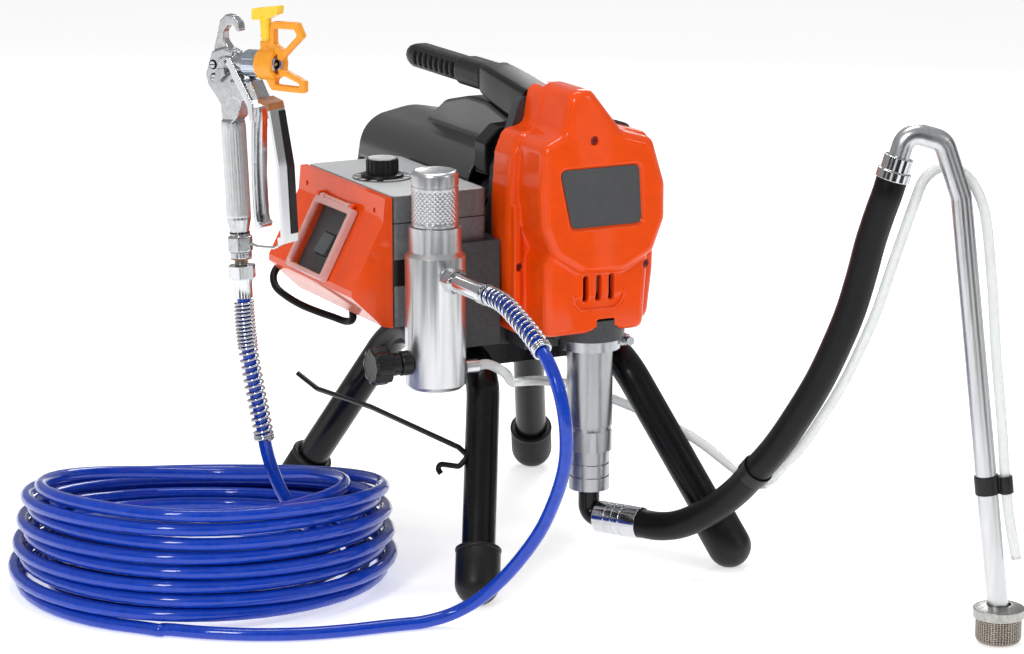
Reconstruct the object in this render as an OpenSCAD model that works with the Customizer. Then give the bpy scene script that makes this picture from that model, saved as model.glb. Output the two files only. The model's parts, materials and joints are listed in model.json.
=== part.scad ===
/* [Stand] */
// Outer diameter of the leg tubes
leg_od = 30; // [26:1:34]
// Wall of the leg tubes
leg_wall = 2; // [1.5:0.5:4]
// Height of the top run of the legs, at the middle of the tube
leg_top = 188; // [184:1:190]
// Spread of the feet from side to side
foot_spread = 256; // [230:2:280]
// Spread of the top runs from side to side
top_spread = 136; // [130:2:150]
// Distance from the front feet to the rear feet
foot_length = 392; // [380:2:410]
// Length of the top run from bend to bend, at the corners
top_length = 180; // [170:2:200]
// Radius of the bends of the legs, at the middle of the tube
leg_bend_r = 62; // [50:1:75]
// Diameter of the rubber foot caps
foot_d = 40; // [37:0.5:46]
// Length of the sleeve of a foot cap above its ball
foot_sleeve = 31; // [20:1:45]
// Diameter of the wire of the pail hook
hook_wire = 5; // [4:0.5:7]

/* [Drive] */
// Height of the crank above the floor
crank_z = 338; // [334:1:340]
// Radius of the crank, half the stroke of the piston
crank_r = 10; // [6:0.5:12]
// Module of the gear teeth
gear_module = 1.25; // [1.2:0.01:1.28]
// Teeth of the crank gear
gear_teeth = 72; // [68:1:74]
// Teeth of the pinion
pinion_teeth = 12; // [10:1:13]
// Width of the gears
gear_w = 12; // [8:1:14]
// Diameter of the motor shaft
shaft_d = 12; // [10:0.5:12]
// Outer diameter of the motor can
motor_d = 104; // [98:1:106]
// Length of the motor can
motor_l = 178; // [170:1:184]
// Wall of the motor can
motor_wall = 4; // [3:0.5:6]
// Wall of the moulded front cover
cover_wall = 3; // [2:0.5:4]
// Width of the carrying handle
grip_w = 28; // [25:0.5:32]
// Depth of the front cover from its seat to its face
cover_depth = 83; // [81:0.5:90]

/* [Pump] */
// Outer diameter of the pump cylinder
pump_d = 42; // [40:0.5:46]
// Bore of the pump cylinder
pump_bore = 26; // [22:0.5:30]
// Diameter of the piston rod
rod_d = 18; // [14:0.5:20]
// Radial running clearance of the moving fits
fit_gap = 0.05; // [0.02:0.01:0.1]
// Diameter of the foot valve housing
valve_d = 40; // [38:0.5:44]
// Size across the flats of the foot valve
valve_flats = 37; // [35:0.5:39]
// Diameter of the elbow under the pump
elbow_d = 19.5; // [17:0.5:22]
// Diameter of the ferrule on the suction hose
ferrule_d = 29; // [28:0.5:34]
// Diameter of the suction hose
suction_hose_d = 26; // [24:0.5:27]

/* [Suction pipe] */
// Diameter of the suction pipe
pipe_d = 18; // [15:0.5:20]
// Wall of the suction pipe
pipe_wall = 1.5; // [1:0.25:3]
// Diameter of the strainer cup
mesh_d = 39; // [34:0.5:42]
// Diameter of the strainer cap
strainer_cap_d = 44; // [43:0.5:50]
// Height of the strainer cup under its cap
mesh_h = 23; // [18:1:30]
// Diameter of the clear drain tube
drain_d = 9; // [8:0.5:10]

/* [Manifold] */
// Diameter of the manifold body
manifold_d = 54; // [50:0.5:58]
// Bottom of the manifold body
manifold_low = 178; // [172:1:184]
// Top of the manifold body
manifold_top = 298; // [294:1:302]
// Diameter of the filter cap
cap_d = 42; // [38:0.5:46]
// Height of the filter cap
cap_h = 46; // [40:1:52]
// Bore for the filter
filter_bore = 26; // [22:0.5:30]
// Diameter of the drain valve knob
prime_knob_d = 31; // [26:0.5:36]

/* [Control box] */
// Height of the control box
box_h = 118; // [112:1:124]
// Length of the control box from front to rear
box_l = 183; // [174:1:190]
// Width of the cast part of the control box
box_w = 94; // [88:1:98]
// Depth of the sloping cover at its lower edge
wedge_deep = 40; // [34:1:46]
// Diameter of the pressure knob
knob_d = 30; // [26:0.5:34]
// Height of the pressure knob
knob_h = 17; // [14:0.5:22]

/* [Hose] */
// Diameter of the high-pressure hose
hose_d = 11.5; // [11:0.1:11.6]
// Distance between neighbouring loops, middle to middle
loop_pitch = 12.1; // [12.1:0.05:12.6]
// Radius of the first loop on the floor
loop_r = 167; // [160:1:172]
// How much the radius shrinks from loop to loop
loop_lean = 1.6; // [1.2:0.1:2]
// How far the loops slip to and fro on the flatter side
loop_slip = 6.2; // [5.6:0.1:6.4]
// Step inward from the outer loops to the inner loops
loop_step = 25.5; // [25:0.5:28]
// Wire diameter of the spring guards
guard_wire = 2.2; // [1.8:0.1:2.4]
// Diameter of a spring guard at the middle of its wire
guard_d = 16.4; // [15.8:0.1:17.5]

/* [Gun] */
// Diameter of the handle of the gun
grip_d = 21; // [19:0.5:24]
// Length of the handle
grip_l = 87; // [84:1:90]
// Thickness of the gun body
gun_t = 15; // [13:0.5:16]
// Thickness of the tip guard wings
wing_t = 7; // [6:0.5:9]
// Diameter of the spray tip
tip_d = 9; // [7:0.5:10]

/* [Hidden] */

// The pump stands on the vertical line through the pump point
pump_x = 66;
pump_y = 39;
gap = 0.3;         // gap between a moving piece and its neighbour
snug = 0.1;        // play of a piece that is fitted and stays put

// Stand
mid_x = -28;       // middle of the stand and of the motor
foot_front = -84;  // front feet, in front of the pump
foot_mid = foot_d/2 - 1;
bar_h = 20;
bar_w = 30;
bar_z = leg_top - 10;
bar_y = [66, 158];
deck = bar_z + bar_h;
top_front = foot_front + (foot_length - top_length)/2;

// Drive
face_y = 45;                       // seat of the front cover
axle_gap = gear_module*(gear_teeth + pinion_teeth)/2 + 0.1;
motor_x = mid_x;
motor_z = crank_z - sqrt(axle_gap*axle_gap - motor_x*motor_x);
gear_y = 12;                       // front of the gears
can_y = 118;                       // front of the motor can
can_end = can_y + motor_l;
bearing_d = 32;
bearing_w = 10;
crank_shaft_d = 20;
crank_bearing_d = 42;
crank_pin_d = 12;
shaft_rear = 62;                   // rear end of the crank shaft
rod_half = 7;                      // half the thickness of the big end

// Pump
boss_low = 208;
nut_h = 10;
cyl_top = 226;
cyl_low = 126;
valve_low = 66;
piston_z = 168;
elbow_z = 40;
outlet_dir = [0.469, -0.883, 0.02];

// Manifold
man_x = -155;
outlet_z = 282;
sleeve_y = -108;
drain_z = 203;

// Control box
box_z = 228;
box_x = -88;
seam_x = box_x - box_w;
box_y = 32;
knob_at = [-150, 120];
window_a = [seam_x - 6.5, 318];
window_b = [seam_x - wedge_deep + 5.5, 262];

// Gun: the handle stands on this point, turned and leaning like this
gun_at = [-323.5, 42.6, 337.7];
gun_yaw = -62;
gun_lean = -3;

// Routes, in the frame of the pump
lead_route = [[-156,-108,282], [-156,-124,282], [-156,-142,279.5], [-156,-162,273], [-156,-182,266], [-156,-204,256],
    [-156,-224,242], [-155,-238,222], [-153,-243,198], [-150,-238,170], [-149,-227,145],
    [-150,-213,120], [-153,-199,97], [-160,-183,73], [-171,-165,48], [-187,-148,26],
    [-207,-135,12], [-232,-127,6], [-262,-122,5.75], [-297,-118,5.75], [-335,-109,5.75],
    [-373,-92,5.75], [-408,-68,5.75], [-436,-44,5.75]];
tail_route = [[-208.5,114.3,5.78], [-211,98,6.5], [-220,79,9], [-231,60,17], [-243,43,29], [-257,30,43], [-269,22,56],
    [-280,20,69], [-291,24,86], [-299,29,106], [-305,33,130], [-309,35,158], [-314.5,36.5,190],
    [-319,38,222], [-321.34,38.543,250], [-321.788,39.385,268.197]];
suction_route = [[27,-51,41], [34.97,-66.01,41.34], [43,-82,45], [51,-101,54], [59,-122,68], [67,-148,89],
    [72,-174,114], [78,-200,142], [84,-224,174], [90,-248,210], [94,-268,245], [97,-285,279],
    [98,-299,312], [97,-313,343], [97,-326,369], [97.8815,-335.411,388], [101,-337,400]];
drain_route = [[-120,-12,196], [-109,-12,196], [-93,-12,187], [-79,2,174], [-54,34,164], [-20,52,157],
    [15,52,148], [48,36,134], [76,8,120], [96,-28,106], [104,-66,94], [104,-104,88], [98,-138,90],
    [92,-166,101], [92,-186,118], [97,-210,142], [103,-234,174], [109,-258,210], [113,-278,245],
    [116,-296,279], [118,-310,312], [120,-324,344], [123,-338,378], [132,-339,398], [148,-340,406],
    [163,-350,402], [173,-363,380], [177,-374,322], [182,-378,250], [188,-381,190], [192,-383,139],
    [197,-386,100], [202,-388,74]];
loop_route = [[-176,222,256], [-176,230,256], [-184,237,255], [-195,239,252], [-205,237,246],
    [-211,232,239], [-212,224,231], [-207,211,224], [-199,196,218], [-190,180,214], [-181,164,211],
    [-174,150,209], [-172,140,213], [-172,140,222]];
// the pail hook is welded to the left leg at this share of its front run, and keeps its place beside it
weld_share = 0.6;
weld_at = lerp(leg_corners(-1)[0], leg_corners(-1)[1], weld_share);
hook_corners = [for (c = [[-52, 288.4, 13.6], [-41, 266.4, 1.6], [-30, 170.4, 4.6], [-16.6, 12.4, 1.6],
    [-16, -5.6, -2.4], [-24, -3.6, -11.4], [-41, 14.4, -10.4], [-36, 8.4, -19.4]]) weld_at + c];
// The suction pipe stands in one upright plane through the strainer
strainer_at = [190, -382];
pipe_bend = 13;
nut_l = 20;

function unit(v) = v/norm(v);
function flat3(v) = [v[0], v[1], 0];
function smooth(k) = let (c = min(max(k, 0), 1)) c*c*(3 - 2*c);
function lerp(a, b, k) = a + (b - a)*k;
// point in the plane of the suction pipe: s to the side of the strainer, z above the floor
function in_plane(s, z) = [strainer_at[0] + s*0.891, strainer_at[1] - s*0.454, z];
// any direction square to w
function aside(w) = abs(w[2]) < 0.9 ? unit(cross([0, 0, 1], w)) : unit(cross([1, 0, 0], w));
function axes(x, y, z, o) = [[x[0], y[0], z[0], o[0]], [x[1], y[1], z[1], o[1]],
    [x[2], y[2], z[2], o[2]], [0, 0, 0, 1]];
// frame at a whose Z axis points along w
function aim(a, w) = let (z = unit(w), x = aside(z)) axes(x, cross(z, x), z, a);

// directions along a route, and a side direction carried along it without twist
function headings(p) = [for (i = [0:len(p) - 1]) unit(p[min(i + 1, len(p) - 1)] - p[max(i - 1, 0)])];
function carried(n, t) = unit(n - (n*t)*t);
function sides(t, n0) =
    [for (i = 0, n = carried(n0, t[0]); i < len(t); i = i + 1, n = carried(n, t[min(i, len(t) - 1)])) n];

// closed solid through rings of equal length, each seen anticlockwise from the far end
module skin(rings) {
    s = len(rings[0]);
    last = (len(rings) - 1)*s;
    points = [for (r = rings) each r];
    faces = [for (i = [0:len(rings) - 2], k = [0:s - 1]) let (a = i*s + k, b = a + s,
            c = (i + 1)*s + (k + 1)%s, d = i*s + (k + 1)%s) each [[a, b, c], [a, c, d]]];
    caps = [[for (k = [0:s - 1]) k], [for (k = [s - 1:-1:0]) last + k]];
    polyhedron(points, concat(faces, caps));
}
function tube_rings(p, d, s) = let (t = headings(p), n = sides(t, aside(t[0])))
    [for (i = [0:len(p) - 1]) let (m = cross(t[i], n[i]))
        [for (k = [0:s - 1]) p[i] + d/2*(cos(360*k/s)*n[i] + sin(360*k/s)*m)]];
module tube(p, d, s) skin(tube_rings(p, d, s));
// corner points of a wire, each rounded into an arc of n steps
function rounded_path(p, r, n) = concat([p[0]], [for (i = [1:len(p) - 2]) let (u = unit(p[i] - p[i - 1]),
    v = unit(p[i + 1] - p[i]), h = acos(u*v), t = r*tan(h/2), m = carried(v, u))
    each [for (j = [0:n]) p[i] - u*t + r*(sin(h*j/n)*u + (1 - cos(h*j/n))*m)]], [p[len(p) - 1]]);

// tube bent through corner points; the bore has half as many sides and runs out of both ends
module pipe(p, r, od, id, s, n) difference() {
    last = len(p) - 1;
    tube(rounded_path(p, r, n), od, s);
    if (id > 0) tube(rounded_path(concat([p[0] - unit(p[1] - p[0])], [for (i = [1:last - 1]) p[i]],
        [p[last] + unit(p[last] - p[last - 1])]), r, n), id, s/2);
}

// outlines with rounded corners
function corner(a, b, c, r, n) = let (u = unit(a - b), v = unit(c - b), h = acos(u*v)/2,
    t = min(r/tan(h), 0.48*min(norm(a - b), norm(c - b))), q = t*tan(h),
    o = b + unit(u + v)*q/sin(h), s = b + u*t - o, e = b + v*t - o, a0 = atan2(s[1], s[0]),
    w = (atan2(e[1], e[0]) - a0 + 540)%360 - 180)
    [for (i = [0:n]) o + q*[cos(a0 + w*i/n), sin(a0 + w*i/n)]];
function rounded(p, r, n = 3) = [for (i = [0:len(p) - 1])
    each corner(p[(i + len(p) - 1)%len(p)], p[i], p[(i + 1)%len(p)], is_list(r) ? r[i] : r, n)];
// outline drawn in by d, for corners listed anticlockwise
function drawn_in(p, d) = [for (i = [0:len(p) - 1]) let (a = unit(p[i] - p[(i + len(p) - 1)%len(p)]),
    b = unit(p[(i + 1)%len(p)] - p[i]), m = [-a[1] - b[1], a[0] + b[0]])
    p[i] + m*d/(1 + a*b)];
// ring of the outline in the upright plane at y
function upright(p, d, r, y, n = 3) = [for (q = rounded(drawn_in(p, d), r, n)) [q[0], y, q[1]]];

module at_pump() translate([pump_x, pump_y, 0]) children();
module at_gun() at_pump() translate(gun_at) rotate([0, 0, gun_yaw]) rotate([0, gun_lean, 0]) children();
// round piece lying along Y from y0 to y1
module along_y(x, z, y0, y1, d) translate([x, y0, z]) rotate([-90, 0, 0]) cylinder(h = y1 - y0, d = d, $fn = 64);
// plate with the outline in X and Z, from y0 to y1
module plate_y(y0, y1) translate([0, y1, 0]) rotate([90, 0, 0]) linear_extrude(y1 - y0) children();
module block(a, b) translate(a) cube(b - a);
module hexagon(h, flats) cylinder(h = h, d = flats/cos(30), $fn = 6);

// ---------- stand ----------
function leg_corners(side) = let (fx = mid_x + side*foot_spread/2, tx = mid_x + side*top_spread/2)
    [[fx, foot_front, foot_mid], [tx, top_front, leg_top], [tx, top_front + top_length, leg_top],
        [fx, foot_front + foot_length, foot_mid]];
module leg(side) {
    p = leg_corners(side);
    pipe([p[0] + unit(p[1] - p[0])*4, p[1], p[2], p[3] - unit(p[3] - p[2])*4], leg_bend_r, leg_od,
        leg_od - 2*leg_wall, 24, 6);
}
module left_leg() color("#17181a") at_pump() leg(-1);
module right_leg() color("#17181a") at_pump() leg(1);

module cross_bars() color("#17181a") at_pump() difference() {
    for (y = bar_y) block([mid_x - top_spread/2, y - bar_w/2, bar_z], [mid_x + top_spread/2, y + bar_w/2, deck]);
    for (side = [-1, 1]) along_y(mid_x + side*top_spread/2, leg_top, -60, 320, leg_od + 2*gap);
}

module foot_cap(side, rear) {
    p = leg_corners(side);
    at = rear ? p[3] : p[0];
    up = rear ? p[2] - p[3] : p[1] - p[0];
    difference() {
        union() {
            translate(at) sphere(d = foot_d, $fn = 48);
            multmatrix(aim(at, up)) {
                cylinder(h = foot_sleeve - 2, d = foot_d, $fn = 64);
                translate([0, 0, foot_sleeve - 2]) cylinder(h = 2, d1 = foot_d, d2 = foot_d - 3, $fn = 64);
            }
        }
        multmatrix(aim(at + unit(up)*4, up)) cylinder(h = foot_sleeve + 5, d = leg_od + 2*snug, $fn = 64);
        translate(at + [0, 0, -foot_mid - 10]) cylinder(h = 10, d = foot_d, $fn = 32);
    }
}
module foot_cap_fl() color("#202022") at_pump() foot_cap(-1, false);
module foot_cap_fr() color("#202022") at_pump() foot_cap(1, false);
module foot_cap_rl() color("#202022") at_pump() foot_cap(-1, true);
module foot_cap_rr() color("#202022") at_pump() foot_cap(1, true);

module pail_hook() color("#1c1d1f") at_pump() {
    tube(rounded_path(hook_corners, 4, 3), hook_wire, 10);
}

// ---------- drive ----------
// outline of the seat of the front cover, anticlockwise from the lower left
seat_outline = [[-74, 214], [66, 214], [72, 262], [74, 345], [66, 392], [26, 404], [-4, 426], [-48, 426],
    [-58, 398], [-74, 360], [-78, 300]];
lobe_outline = [[-56, 292], [-28, 274], [16, 272], [46, 288], [58, 318], [58, 350], [45, 392], [14, 401],
    [-17, 440], [-38, 440], [-45, 402], [-66, 392], [-68, 350], [-67, 318]];
skirt_outline = [[-60, 217], [40, 217], [45, 284], [30, 310], [-50, 310], [-61, 284]];

module pump_boss() {
    translate([0, 0, boss_low]) cylinder(h = 20, d = 62, $fn = 64);
    block([-36, 0, boss_low], [36, face_y, 228]);
}
module drive_housing() color("#8d9094") at_pump() difference() {
    union() {
        plate_y(face_y, face_y + 12) polygon(rounded(drawn_in(seat_outline, 1.5), 8, 3));
        along_y(motor_x, motor_z, face_y + 12, can_y, motor_d + 6);
        along_y(0, crank_z, 34, face_y + 24, crank_bearing_d + 12);
        pump_boss();
        block([mid_x - 40, face_y, deck], [mid_x + 40, face_y + 50, 240]);
        // arm that carries the manifold and the control box
        block([-128, 24, 204], [-80, face_y + 12, box_z - gap]);
        block([-128, 24, 220], [-80, box_y - gap, 300]);
        block([box_x + gap, 24, 204], [-79, face_y + 12, 300]);
        block([box_x + gap, face_y, 204], [-60, face_y + 12, 300]);
        block([-62, 8, 200], [-28, face_y + 6, 213.5]);
    }
    for (y = [face_y + 12:12:can_y - 8]) difference() {
        along_y(motor_x, motor_z, y + 6, y + 12, motor_d + 8);
        along_y(motor_x, motor_z, y, y + 18, motor_d - 2);
        block([mid_x - 44, y, 190], [mid_x + 44, y + 18, 246]);
    }
    along_y(motor_x, motor_z, 20, can_y + 1, shaft_d + 6);
    along_y(motor_x, motor_z, can_y - bearing_w - snug, can_y + 1, bearing_d + 2*snug);
    along_y(0, crank_z, 20, 100, crank_shaft_d + 4);
    along_y(0, crank_z, 33, 33 + bearing_w + 14, crank_bearing_d + 2*snug);
    translate([0, 0, boss_low - 1]) cylinder(h = 40, d = pump_d + 2*snug, $fn = 64);
    translate([man_x, 0, 150]) cylinder(h = 200, d = manifold_d + 2*snug, $fn = 64);
    block([-26, -20, 226], [26, 34, 260]);
    screw_holes(3.6);
}

module screw_holes(d) {
    along_y(-16, 394.5, -50, 60, d);
    along_y(42, 276.5, -50, 60, d);
    along_y(-68, 277, -50, 60, d);
}
module slot_outline(x, z0, z1, w) polygon(rounded([[x - w/2, z0], [x + w/2, z0], [x + w/2, z1], [x - w/2, z1]],
    w/2 - 0.2, 3));
module front_cover() color("#f0461a") at_pump() {
    face = face_y - cover_depth;
    difference() {
        union() {
            plate_y(13, face_y) polygon(rounded(seat_outline, 10, 3));
            plate_y(9, 14) polygon(rounded(drawn_in(seat_outline, 3), 9, 3));
            plate_y(face + 4, 20) polygon(rounded(lobe_outline, 10, 3));
            plate_y(face, face + 5) polygon(rounded(drawn_in(lobe_outline, 3.5), 8, 3));
            plate_y(face + 12, 20) polygon(rounded(skirt_outline, 7, 3));
            plate_y(face + 8, face + 13) polygon(rounded(drawn_in(skirt_outline, 3), 6, 3));
            // raised rib of the left column
            plate_y(5, 14) slot_outline(-70.5, 238, 334, 8);
        }
        plate_y(13 + cover_wall, face_y + 1) polygon(rounded(drawn_in(seat_outline, 2*cover_wall), 7, 3));
        plate_y(face + cover_wall + 6, face_y + 1) polygon(rounded(drawn_in(lobe_outline, cover_wall + 1), 7, 3));
        plate_y(face + cover_wall + 14, face_y + 1) polygon(rounded(drawn_in(skirt_outline, cover_wall + 1), 5, 3));
        for (x = [-20, -7, 6]) plate_y(face - 1, 2) slot_outline(x, 248, 270, 5.4);
        plate_y(face - 1, face + 3) label_outline(0);
        translate([0, 0, 190]) cylinder(h = 40, d = 62 + 2*gap, $fn = 64);
        block([-36 - gap, 0, 190], [36 + gap, face_y + 1, 228 + gap]);
        screw_holes(3.6);
        along_y(-16, 394.5, -50, face + 5, 8);
        along_y(42, 276.5, -50, face + 14, 8);
        along_y(-68, 277, -50, 12, 8);
    }
}
module label_outline(in) polygon(rounded([[-38 + in, 316 + in], [33 - in, 316 + in], [30 - in, 370 - in],
    [-50 + in, 370 - in]], 5, 3));
module label_plate() color("#4b4c4e") at_pump() plate_y(face_y - cover_depth + 1.8, face_y - cover_depth + 3)
    label_outline(0.4);
module cover_screws() color("#b9bcc0") at_pump() {
    face = face_y - cover_depth;
    for (s = [[-16, 394.5, face + 5], [42, 276.5, face + 14], [-68, 277, 12]]) difference() {
        union() {
            along_y(s[0], s[1], s[2] - 3, s[2], 7);
            along_y(s[0], s[1], s[2], face_y + 6, 3.2);
        }
        translate([s[0], s[2] - 2, s[1]]) rotate([90, 0, 0]) hexagon(2, 3);
    }
}

module motor_can() color("#2a2b2d") at_pump() difference() {
    union() {
        along_y(motor_x, motor_z, can_y, can_end, motor_d);
        block([mid_x - 34, can_y + 10, deck], [mid_x + 34, can_end - 14, motor_z - motor_d/2 + 8]);
        along_y(motor_x, motor_z, can_end - 8, can_end + 4, motor_d - 46);
    }
    along_y(motor_x, motor_z, can_y - 1, can_end - 12, motor_d - 2*motor_wall);
    along_y(motor_x, motor_z, can_y, can_end + 2, shaft_d + 4);
    along_y(motor_x, motor_z, can_end - 13, can_end - 2, bearing_d + 2*snug);
    // air slots round the rear bearing
    for (a = [0:30:330]) translate([motor_x, can_end - 14, motor_z]) rotate([-90, a, 0])
        translate([34, -3, 0]) cube([12, 6, 20]);
}

shroud_half = 57;
shroud_y = 80;
module arch(w, low, r) hull() {
    translate([motor_x - w, low]) square([2*w, 4]);
    for (s = [-1, 1]) translate([motor_x + s*(w - r), 372 - (57 - w) - r]) circle(r, $fn = 48);
    translate([motor_x, 372 - (57 - w) + 4 - 60]) circle(60, $fn = 96);
}
module motor_shroud() color("#3a3b3e") at_pump() {
    difference() {
        union() {
            plate_y(shroud_y, 314) arch(shroud_half, 336, 34);
            // arched hump on top
            translate([-45, 0, 0]) rotate([90, 0, 90]) linear_extrude(34)
                polygon(rounded([[shroud_y, 360], [246, 360], [246, 374], [206, 398], [160, 408], [120, 408],
                    [shroud_y, 399]], [1, 1, 12, 30, 30, 30, 1], 4));
        }
        plate_y(60, 310) arch(shroud_half - 3, 300, 32);
        translate([-42, 0, 0]) rotate([90, 0, 90]) linear_extrude(28)
            polygon(rounded([[shroud_y + 3, 350], [236, 350], [232, 374], [202, 394], [160, 405], [120, 405],
                [shroud_y + 3, 396]], 12, 4));
        along_y(motor_x, motor_z, 250, 400, 92);
    }
}
module shroud_bracket() color("#1d1e20") at_pump() {
    plate_y(face_y + 12, shroud_y) polygon(rounded([[-77, 352], [-24, 349.5], [-24, 398], [-62, 396], [-77, 382]], 4, 3));
}

// ---------- carrying handle ----------
neck_y = face_y + 12;
grip_low = 415;
grip_top = 439;
module side_plate(w) translate([mid_x - w/2, 0, 0]) rotate([90, 0, 90]) linear_extrude(w) children();
module handle_neck() color("#202124") at_pump() difference() {
    union() {
        side_plate(grip_w) polygon(rounded([[neck_y, 406.5], [70, 408], [137, 415.5], [137, 436.5], [80, 430],
            [neck_y, 426]], 2, 3));
        side_plate(grip_w - 8) polygon([[130, 419], [160, 420], [160, 434], [130, 433]]);
    }
    for (s = [-1, 1]) translate([s*(grip_w/2 + 1), 0, 0]) side_plate(5)
        polygon(rounded([[62, 410], [132, 418], [132, 432], [62, 424]], 3, 3));
}
module handle_grip() color("#1b1b1d") at_pump() difference() {
    skin([for (k = [[306, 8], [302, 3.5], [292, 1.5], [192, 1.5], [188, 0], [141, 0], [137 + snug, 2]])
        upright([[mid_x - grip_w/2 - 1, grip_low - 1], [mid_x + grip_w/2 + 1, grip_low - 1],
            [mid_x + grip_w/2 + 1, grip_top + 1], [mid_x - grip_w/2 - 1, grip_top + 1]], k[1], 9, k[0])]);
    // finger ribs
    for (s = [-1, 1], y = [198:11.5:284]) translate([mid_x + s*(grip_w/2 + 1), y, 427]) cube([7, 7, 15], center = true);
    side_plate(grip_w - 8 + 2*snug) polygon([[130, 419 - snug], [160 + snug, 420 - snug],
        [160 + snug, 434 + snug], [130, 433 + snug]]);
}

// ---------- gears ----------
function roll(a) = tan(a)*180/PI - a;
// involute gear outline
function gear_outline(z, m, slack) = let (r = z*m/2, rb = r*cos(20), top = r + m, low = r - 1.25*m)
    [for (i = [0:z - 1]) each concat(
        [for (s = [-1, 1]) let (js = s < 0 ? [0:4] : [4:-1:0]) each concat(
            s < 0 ? [low*[cos(360*i/z - 140/z), sin(360*i/z - 140/z)]] : [],
            [for (j = js) let (q = lerp(max(rb, low + 0.05), top, j/4),
                h = 90/z + roll(20) - roll(acos(min(rb/q, 1))) - slack, a = 360*i/z + s*h)
                q*[cos(a), sin(a)]],
            s > 0 ? [low*[cos(360*i/z + 140/z), sin(360*i/z + 140/z)]] : [])])];
module gear(z, m, w, slack) linear_extrude(w) polygon(gear_outline(z, m, slack));

mesh_angle = atan2(motor_z - crank_z, motor_x);
module crank_gear() color("#b3b6ba") at_pump() translate([0, gear_y + gear_w, crank_z]) rotate([90, 0, 0]) {
    difference() {
        union() {
            rotate([0, 0, mesh_angle]) gear(gear_teeth, gear_module, gear_w, 0.06);
            translate([0, 0, gear_y + gear_w - shaft_rear]) cylinder(h = shaft_rear - gear_y - gear_w + 1,
                d = crank_shaft_d, $fn = 64);
            translate([0, 0, -6]) cylinder(h = 8, d = 34, $fn = 64);
        }
        for (a = [0:60:300]) rotate([0, 0, a + 30]) translate([29, 0, -1]) cylinder(h = gear_w + 2, d = 14, $fn = 32);
    }
    // crank pin, cut short at the open pivot
    translate([crank_r, 0, gear_w - 1]) cylinder(h = gear_y - rod_half - gap + 1, d = crank_pin_d, $fn = 48);
}
fan_y = can_end - 42;
module rotor() color("#a7aaae") at_pump() translate([motor_x, 0, motor_z]) {
    rotate([-90, 0, 0]) {
        translate([0, 0, gear_y + gear_w - 0.5]) cylinder(h = can_end - 2 - gear_y - gear_w, d = shaft_d, $fn = 48);
        translate([0, 0, can_y + 16]) cylinder(h = 106, d = 58, $fn = 64);
        translate([0, 0, can_y + 4]) cylinder(h = 14, d = 34, $fn = 48);
        // cooling fan
        translate([0, 0, fan_y]) {
            cylinder(h = 10, d = 26, $fn = 48);
            cylinder(h = 1.6, d = 80, $fn = 64);
            for (a = [0:40:320]) rotate([0, 0, a]) translate([11, -0.9, 0]) cube([28, 1.8, 9]);
        }
    }
    translate([0, gear_y + gear_w, 0]) rotate([90, 0, 0])
        rotate([0, 0, mesh_angle + 180 + 180/pinion_teeth]) gear(pinion_teeth, gear_module, gear_w, 0.4);
}
module ring_y(x, z, y0, w, od, id) difference() {
    along_y(x, z, y0, y0 + w, od);
    along_y(x, z, y0 - 1, y0 + w + 1, id);
}
module shaft_bearings() color("#c6c8cb") at_pump() {
    ring_y(motor_x, motor_z, can_y - bearing_w, bearing_w, bearing_d, shaft_d + 2*fit_gap);
    ring_y(motor_x, motor_z, can_end - 2 - bearing_w, bearing_w, bearing_d, shaft_d + 2*fit_gap);
    ring_y(0, crank_z, 33, bearing_w + 8, crank_bearing_d, crank_shaft_d + 2*fit_gap);
}
module connecting_rod() color("#9fa2a6") at_pump() difference() {
    union() {
        along_y(0, crank_z, -rod_half, rod_half, 26);
        block([-7, -6, 262], [7, 6, crank_z - 10]);
        translate([0, 0, 250]) cylinder(h = 20, d = 24, $fn = 48);
        translate([0, 0, piston_z]) cylinder(h = 260 - piston_z, d = rod_d, $fn = 64);
        translate([0, 0, piston_z - 14]) cylinder(h = 16, d = pump_bore - 2*fit_gap, $fn = 64);
    }
    along_y(0, crank_z, -8, 8, crank_pin_d + 2*gap);
    translate([0, 0, piston_z - 15]) cylinder(h = 20, d = 9, $fn = 32);
}

// ---------- pump ----------
module pump_cylinder() color("#c9ccd0") at_pump() difference() {
    union() {
        translate([0, 0, cyl_low]) cylinder(h = cyl_top - cyl_low, d = pump_d, $fn = 96);
        translate([0, 0, cyl_low - 6]) cylinder(h = 7, d = pump_d - 10, $fn = 64);
    }
    translate([0, 0, cyl_low - 7]) cylinder(h = cyl_top - cyl_low - 18, d = pump_bore, $fn = 64);
    translate([0, 0, cyl_low]) cylinder(h = cyl_top, d = rod_d + 2*fit_gap, $fn = 64);
}
module lock_nut() color("#b9bcc0") at_pump() difference() {
    union() {
        translate([0, 0, boss_low - nut_h]) cylinder(h = nut_h, d = pump_d + 13, $fn = 96);
        block([24, -9, boss_low - nut_h], [37, 3, boss_low - 1]);
        translate([33, -14, boss_low - 5]) rotate([-90, 0, 0]) cylinder(h = 20, d = 5, $fn = 32);
        translate([33, -17, boss_low - 5]) rotate([-90, 0, 0]) cylinder(h = 4, d = 8, $fn = 32);
    }
    translate([0, 0, boss_low - 20]) cylinder(h = 30, d = pump_d + 2*snug, $fn = 96);
    block([20, -3.6, boss_low - 20], [38, -2.4, boss_low + 1]);
}
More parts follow.
